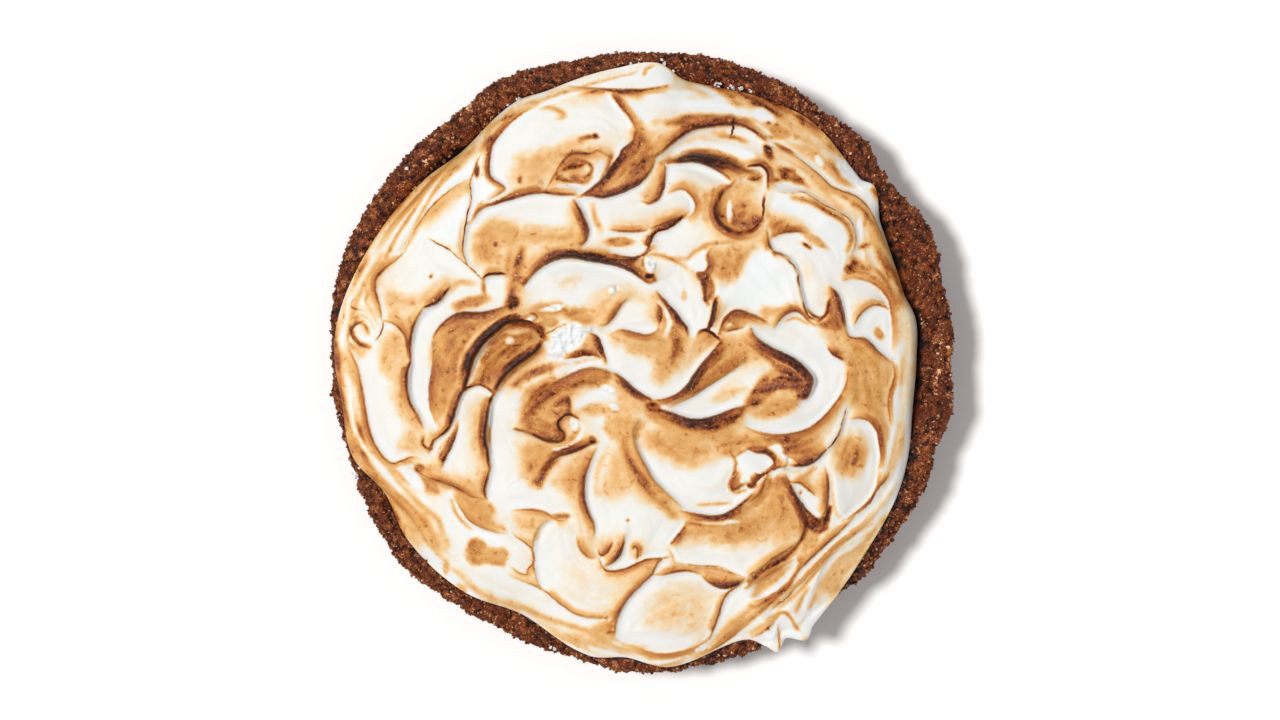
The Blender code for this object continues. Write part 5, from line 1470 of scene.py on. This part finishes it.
def linear(colour):
    """An sRGB colour of 0 to 255 as linear RGBA."""
    parts = [c / 255 for c in colour]
    return [p / 12.92 if p <= 0.04045 else ((p + 0.055) / 1.055) ** 2.4 for p in parts] + [1.0]


class Nodes:
    """Short ways to add the nodes of one material."""

    def __init__(self, name):
        self.material = bpy.data.materials.new(name)
        self.material.use_nodes = True
        self.tree = self.material.node_tree
        self.shader = self.tree.nodes["Principled BSDF"]
        self.where = self.add("ShaderNodeTexCoord").outputs["Object"]

    def add(self, kind, **settings):
        node = self.tree.nodes.new(kind)
        for key, value in settings.items():
            setattr(node, key, value)
        return node

    def put(self, socket, value):
        if isinstance(value, bpy.types.NodeSocket):
            self.tree.links.new(value, socket)
        else:
            socket.default_value = value

    def shade(self, **values):
        """Set or link the shader's inputs; an underscore stands for a space in their names."""
        for name, value in values.items():
            self.put(self.shader.inputs[name.replace("_", " ")], value)

    def math(self, operation, a, b=0.0, c=0.0, clamp=False):
        node = self.add("ShaderNodeMath", operation=operation, use_clamp=clamp)
        for socket, value in zip(node.inputs, (a, b, c)):
            self.put(socket, value)
        return node.outputs[0]

    def times(self, a, b, clamp=False):
        return self.math("MULTIPLY", a, b, clamp=clamp)

    def minus(self, a, b, clamp=False):
        return self.math("SUBTRACT", a, b, clamp=clamp)

    def plus(self, value, a, b, clamp=False):
        """The value with a times b added to it."""
        return self.math("MULTIPLY_ADD", a, b, value, clamp)

    def between(self, value, low, high, to_low=0.0, to_high=1.0):
        """The value's smooth way from low to high, as a number from to_low to to_high."""
        node = self.add("ShaderNodeMapRange", interpolation_type="SMOOTHSTEP")
        for socket, number in zip(node.inputs, (value, low, high, to_low, to_high)):
            self.put(socket, number)
        return node.outputs[0]

    def noise(self, size, detail=2.0, roughness=0.5):
        """Noise of about 0 to 1 with lumps of a size in mm."""
        node = self.add("ShaderNodeTexNoise")
        self.put(node.inputs["Vector"], self.where)
        self.put(node.inputs["Scale"], 1 / (size * MM))
        self.put(node.inputs["Detail"], detail)
        self.put(node.inputs["Roughness"], roughness)
        return node.outputs["Fac"]

    def swing(self, size, detail=2.0, roughness=0.5):
        """The same noise, about zero."""
        return self.minus(self.noise(size, detail, roughness), 0.5)

    def attribute(self, name):
        return self.add("ShaderNodeAttribute", attribute_name=name).outputs["Fac"]

    def ramp(self, factor, stops):
        node = self.add("ShaderNodeValToRGB")
        self.put(node.inputs[0], factor)
        elements = node.color_ramp.elements
        while len(elements) < len(stops):
            elements.new(0.5)
        for element, (position, colour) in zip(elements, stops):
            element.position = position
            element.color = linear(colour)
        return node.outputs["Color"]

    def bump(self, height, strength, distance):
        node = self.add("ShaderNodeBump")
        self.put(node.inputs["Height"], height)
        self.put(node.inputs["Strength"], strength)
        self.put(node.inputs["Distance"], distance * MM)
        return node.outputs["Normal"]


TOAST_COLOURS = (
    (0.00, (227, 230, 231)), (0.12, (227, 225, 218)), (0.25, (228, 209, 176)),
    (0.35, (228, 192, 142)), (0.45, (221, 175, 114)), (0.55, (211, 156, 88)),
    (0.65, (190, 124, 60)), (0.75, (164, 93, 43)), (0.85, (130, 64, 30)), (0.93, (88, 38, 18)),
    (1.00, (44, 17, 8)),
)
LOW_SIDE = 1.8           # how much sooner a scorched line ends below its crest than on it
BAND_MIDDLE = 0.4        # mm that the band beside a scorched line lies on its crest
INK_TOAST = 0.97         # of a scorched line at its darkest
# Crumb tones from dark to pale; the darkest stops are reached mostly where shade is painted in, between
# the crumbs and in the hollow beside the meringue.
CRUMB_COLOURS = (
    (0.00, (9, 4, 3)), (0.12, (40, 15, 5)), (0.25, (66, 25, 6)), (0.50, (103, 44, 13)),
    (0.72, (138, 71, 27)), (0.90, (186, 123, 69)), (1.00, (232, 198, 160)),
)
BOARD_COLOURS = ((0.0, (247, 247, 247)), (1.0, (250, 250, 250)))


def uneven_toast(n, mottle):
    """The meringue's toast with clouds, streaks, specks and pits in it."""
    toast = n.attribute("toast")
    change = n.plus(n.times(mottle, 0.28), n.swing(8, 3), 0.20)
    change = n.plus(change, n.attribute("broad"), n.between(toast, 0.50, 0.75, 0.018, 0.045))
    change = n.plus(change, n.attribute("fine"), n.between(toast, 0.50, 0.75, 0.022, 0.080))
    level = n.plus(toast, change, n.between(toast, 0.04, 0.35, 0.40, 1.0))
    speck = n.times(n.between(n.noise(1.1, 2), 0.60, 0.72), n.between(toast, 0.22, 0.45))
    pit = n.times(n.between(n.noise(2.6, 0), 0.72, 0.75), n.between(toast, 0.15, 0.35))
    return n.plus(n.plus(level, speck, 0.10), pit, 0.12)


def banded(n, level, across, width):
    """The toast with the brown band on each crest, beside its scorched line."""
    aside = n.math("ABSOLUTE", n.minus(across, BAND_MIDDLE))
    aside = n.math("DIVIDE", aside, n.math("ADD", width, 0.3))
    on_crest = n.between(across, -1.0, -0.3)
    beside = n.times(n.between(aside, 0.25, 1.9, 1.0, 0.0), on_crest)
    return n.plus(level, beside, n.minus(n.attribute("band"), level, clamp=True))


def leathery(n, level):
    """The toast with leather grain and pale flecks where it is brown, partly bubbles and partly painted
    glints.
    """
    leather = n.times(n.swing(1.5, 4, 0.7), n.between(level, 0.64, 0.82))
    level = n.plus(level, leather, 0.75)
    # Pale flecks: partly bubbles in the foam, partly painted glints.
    bubble_and_glint = n.times(n.between(n.noise(0.8, 1), 0.70, 0.75), n.between(level, 0.5, 0.7))
    return n.plus(level, bubble_and_glint, -0.40)


def scorched(n, level, across, width):
    """The toast with the scorched line along each fold, fainter here and there."""
    nearer = n.math("MINIMUM", across, n.times(across, LOW_SIDE))
    off = n.math("DIVIDE", n.math("ABSOLUTE", nearer), width)
    line = n.between(off, 0.16, 0.74, 1.0, 0.0)
    fainter = n.between(n.noise(4.5, 2), 0.32, 0.62, 0.30, 1.0)
    line = n.times(n.times(line, fainter), n.attribute("ink"), clamp=True)
    return n.plus(level, n.minus(INK_TOAST, level, clamp=True), line, clamp=True)


def meringue_material():
    """White foam that browns from gold to nearly black with the toast on it."""
    n = Nodes("toasted_meringue")
    across = n.plus(n.attribute("across"), n.swing(2.2, 2), 1.0)
    width = n.attribute("width")
    mottle = n.swing(2.4, 4, 0.6)
    level = banded(n, uneven_toast(n, mottle), across, width)
    level = scorched(n, leathery(n, level), across, width)
    brown = n.between(level, 0.45, 0.8)
    wrinkle = n.times(n.noise(1.3, 3, 0.65), n.between(level, 0.35, 0.75, 0.10, 1.0))
    n.shade(
        Base_Color=n.ramp(level, TOAST_COLOURS),
        Roughness=n.between(n.math("ADD", brown, mottle), 0, 1.2, 0.62, 0.36),
        Normal=n.bump(n.plus(wrinkle, n.noise(0.6, 2), 0.18), 0.6, 0.7),
        Subsurface_Weight=0.6,
        Subsurface_Radius=(0.8, 0.8, 0.75),
        Subsurface_Scale=3.0 * MM,
        Specular_IOR_Level=0.22,
    )
    return n.material


def crumb_material():
    """Baked crumbs, each of its own tone; on the wall that tone carries painted shade, and pale specks
    among them are partly painted glints.
    """
    n = Nodes("baked_crumbs")
    grain = n.swing(0.6, 3, 0.75)
    tone = n.plus(n.attribute("tone"), grain, 0.95)
    # Pale specks: partly sugar crystals, partly painted glints.
    tone = n.plus(tone, n.between(n.noise(0.55, 1), 0.66, 0.71), 0.42)
    tone = n.plus(tone, n.swing(9, 2), 0.10, clamp=True)
    n.shade(
        Base_Color=n.ramp(tone, CRUMB_COLOURS),
        Roughness=n.between(grain, -0.3, 0.3, 0.9, 0.55),
        Normal=n.bump(n.noise(0.5, 2), 0.5, 0.25),
        Specular_IOR_Level=0.3,
    )
    return n.material


def board_material():
    """Plain white board, with the faintest grain."""
    n = Nodes("white_board")
    n.shade(Base_Color=n.ramp(n.noise(3, 2), BOARD_COLOURS), Roughness=0.9, Specular_IOR_Level=0.1)
    return n.material


# ---------------------------------------------------------------- stage

KEY_DIRECTION = (169.0, 69.0)    # azimuth and elevation that the light comes from
KEY_WIDTH = 9.0                  # degrees
KEY_STRENGTH = 2.43
KEY_COLOUR = (1.0, 0.995, 0.985)
FILL_STRENGTH = 0.49
FILL_COLOUR = (1.0, 0.985, 0.97, 1)
FLOOR_SIDE = 8.0                 # metres
CAMERA_HEIGHT = 1.8              # metres above the rim
PICTURE_WIDTH = 1280
PIXELS_PER_MM = 2.575            # at the rim, in a picture of that width
LOOK_AT = (-0.8, 0.6)            # mm, the middle of the picture


def make_floor():
    """The white board that the pie stands on."""
    bpy.ops.mesh.primitive_plane_add(size=FLOOR_SIDE)
    floor = bpy.context.object
    floor.name = "floor"
    floor.data.materials.append(board_material())


def make_lights():
    """A wide sun from above, and white light from all sides."""
    azimuth, elevation = (math.radians(a) for a in KEY_DIRECTION)
    key = bpy.data.objects.new("key", bpy.data.lights.new("key", "SUN"))
    key.data.energy = KEY_STRENGTH
    key.data.angle = math.radians(KEY_WIDTH)
    key.data.color = KEY_COLOUR
    key.rotation_euler = (0, math.pi / 2 - elevation, azimuth)
    bpy.context.scene.collection.objects.link(key)
    world = bpy.data.worlds.new("studio")
    world.use_nodes = True
    background = world.node_tree.nodes["Background"]
    background.inputs["Color"].default_value = FILL_COLOUR
    background.inputs["Strength"].default_value = FILL_STRENGTH
    bpy.context.scene.world = world


def make_camera():
    """Camera straight above the pie."""
    camera = bpy.data.objects.new("camera", bpy.data.cameras.new("camera"))
    camera.location = (LOOK_AT[0] * MM, LOOK_AT[1] * MM, RIM_HEIGHT * MM + CAMERA_HEIGHT)
    width = PICTURE_WIDTH / PIXELS_PER_MM * MM
    camera.data.lens = camera.data.sensor_width * CAMERA_HEIGHT / width
    bpy.context.scene.collection.objects.link(camera)
    bpy.context.scene.camera = camera
    bpy.context.scene.view_settings.view_transform = "Standard"


def dress():
    """Make every piece, hide the part's meringue and crust that they replace, and attach them all to
    the root body.
    """
    meringue = make_meringue(meringue_fields(), meringue_material())
    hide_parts("meringue")
    crumbs = crumb_material()
    crust, surface, outward = make_crust(crumbs)
    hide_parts("crust")
    rng = np.random.default_rng(SEED + 3)
    ends = (int(LOOSE_RIM_END / RING_STEP), len(surface) - BARE_FOOT)
    grains = [make_crumbs(loose, end, surface, outward, rng, crumbs)
              for loose, end in zip((LOOSE_ON_RIM, LOOSE_ON_WALL), ends)]
    flecks = make_flecks(rng, meringue.data.materials[0])
    for piece in (meringue, crust, *grains, flecks):
        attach(piece, "root")


make_floor()
make_lights()
make_camera()
dress()
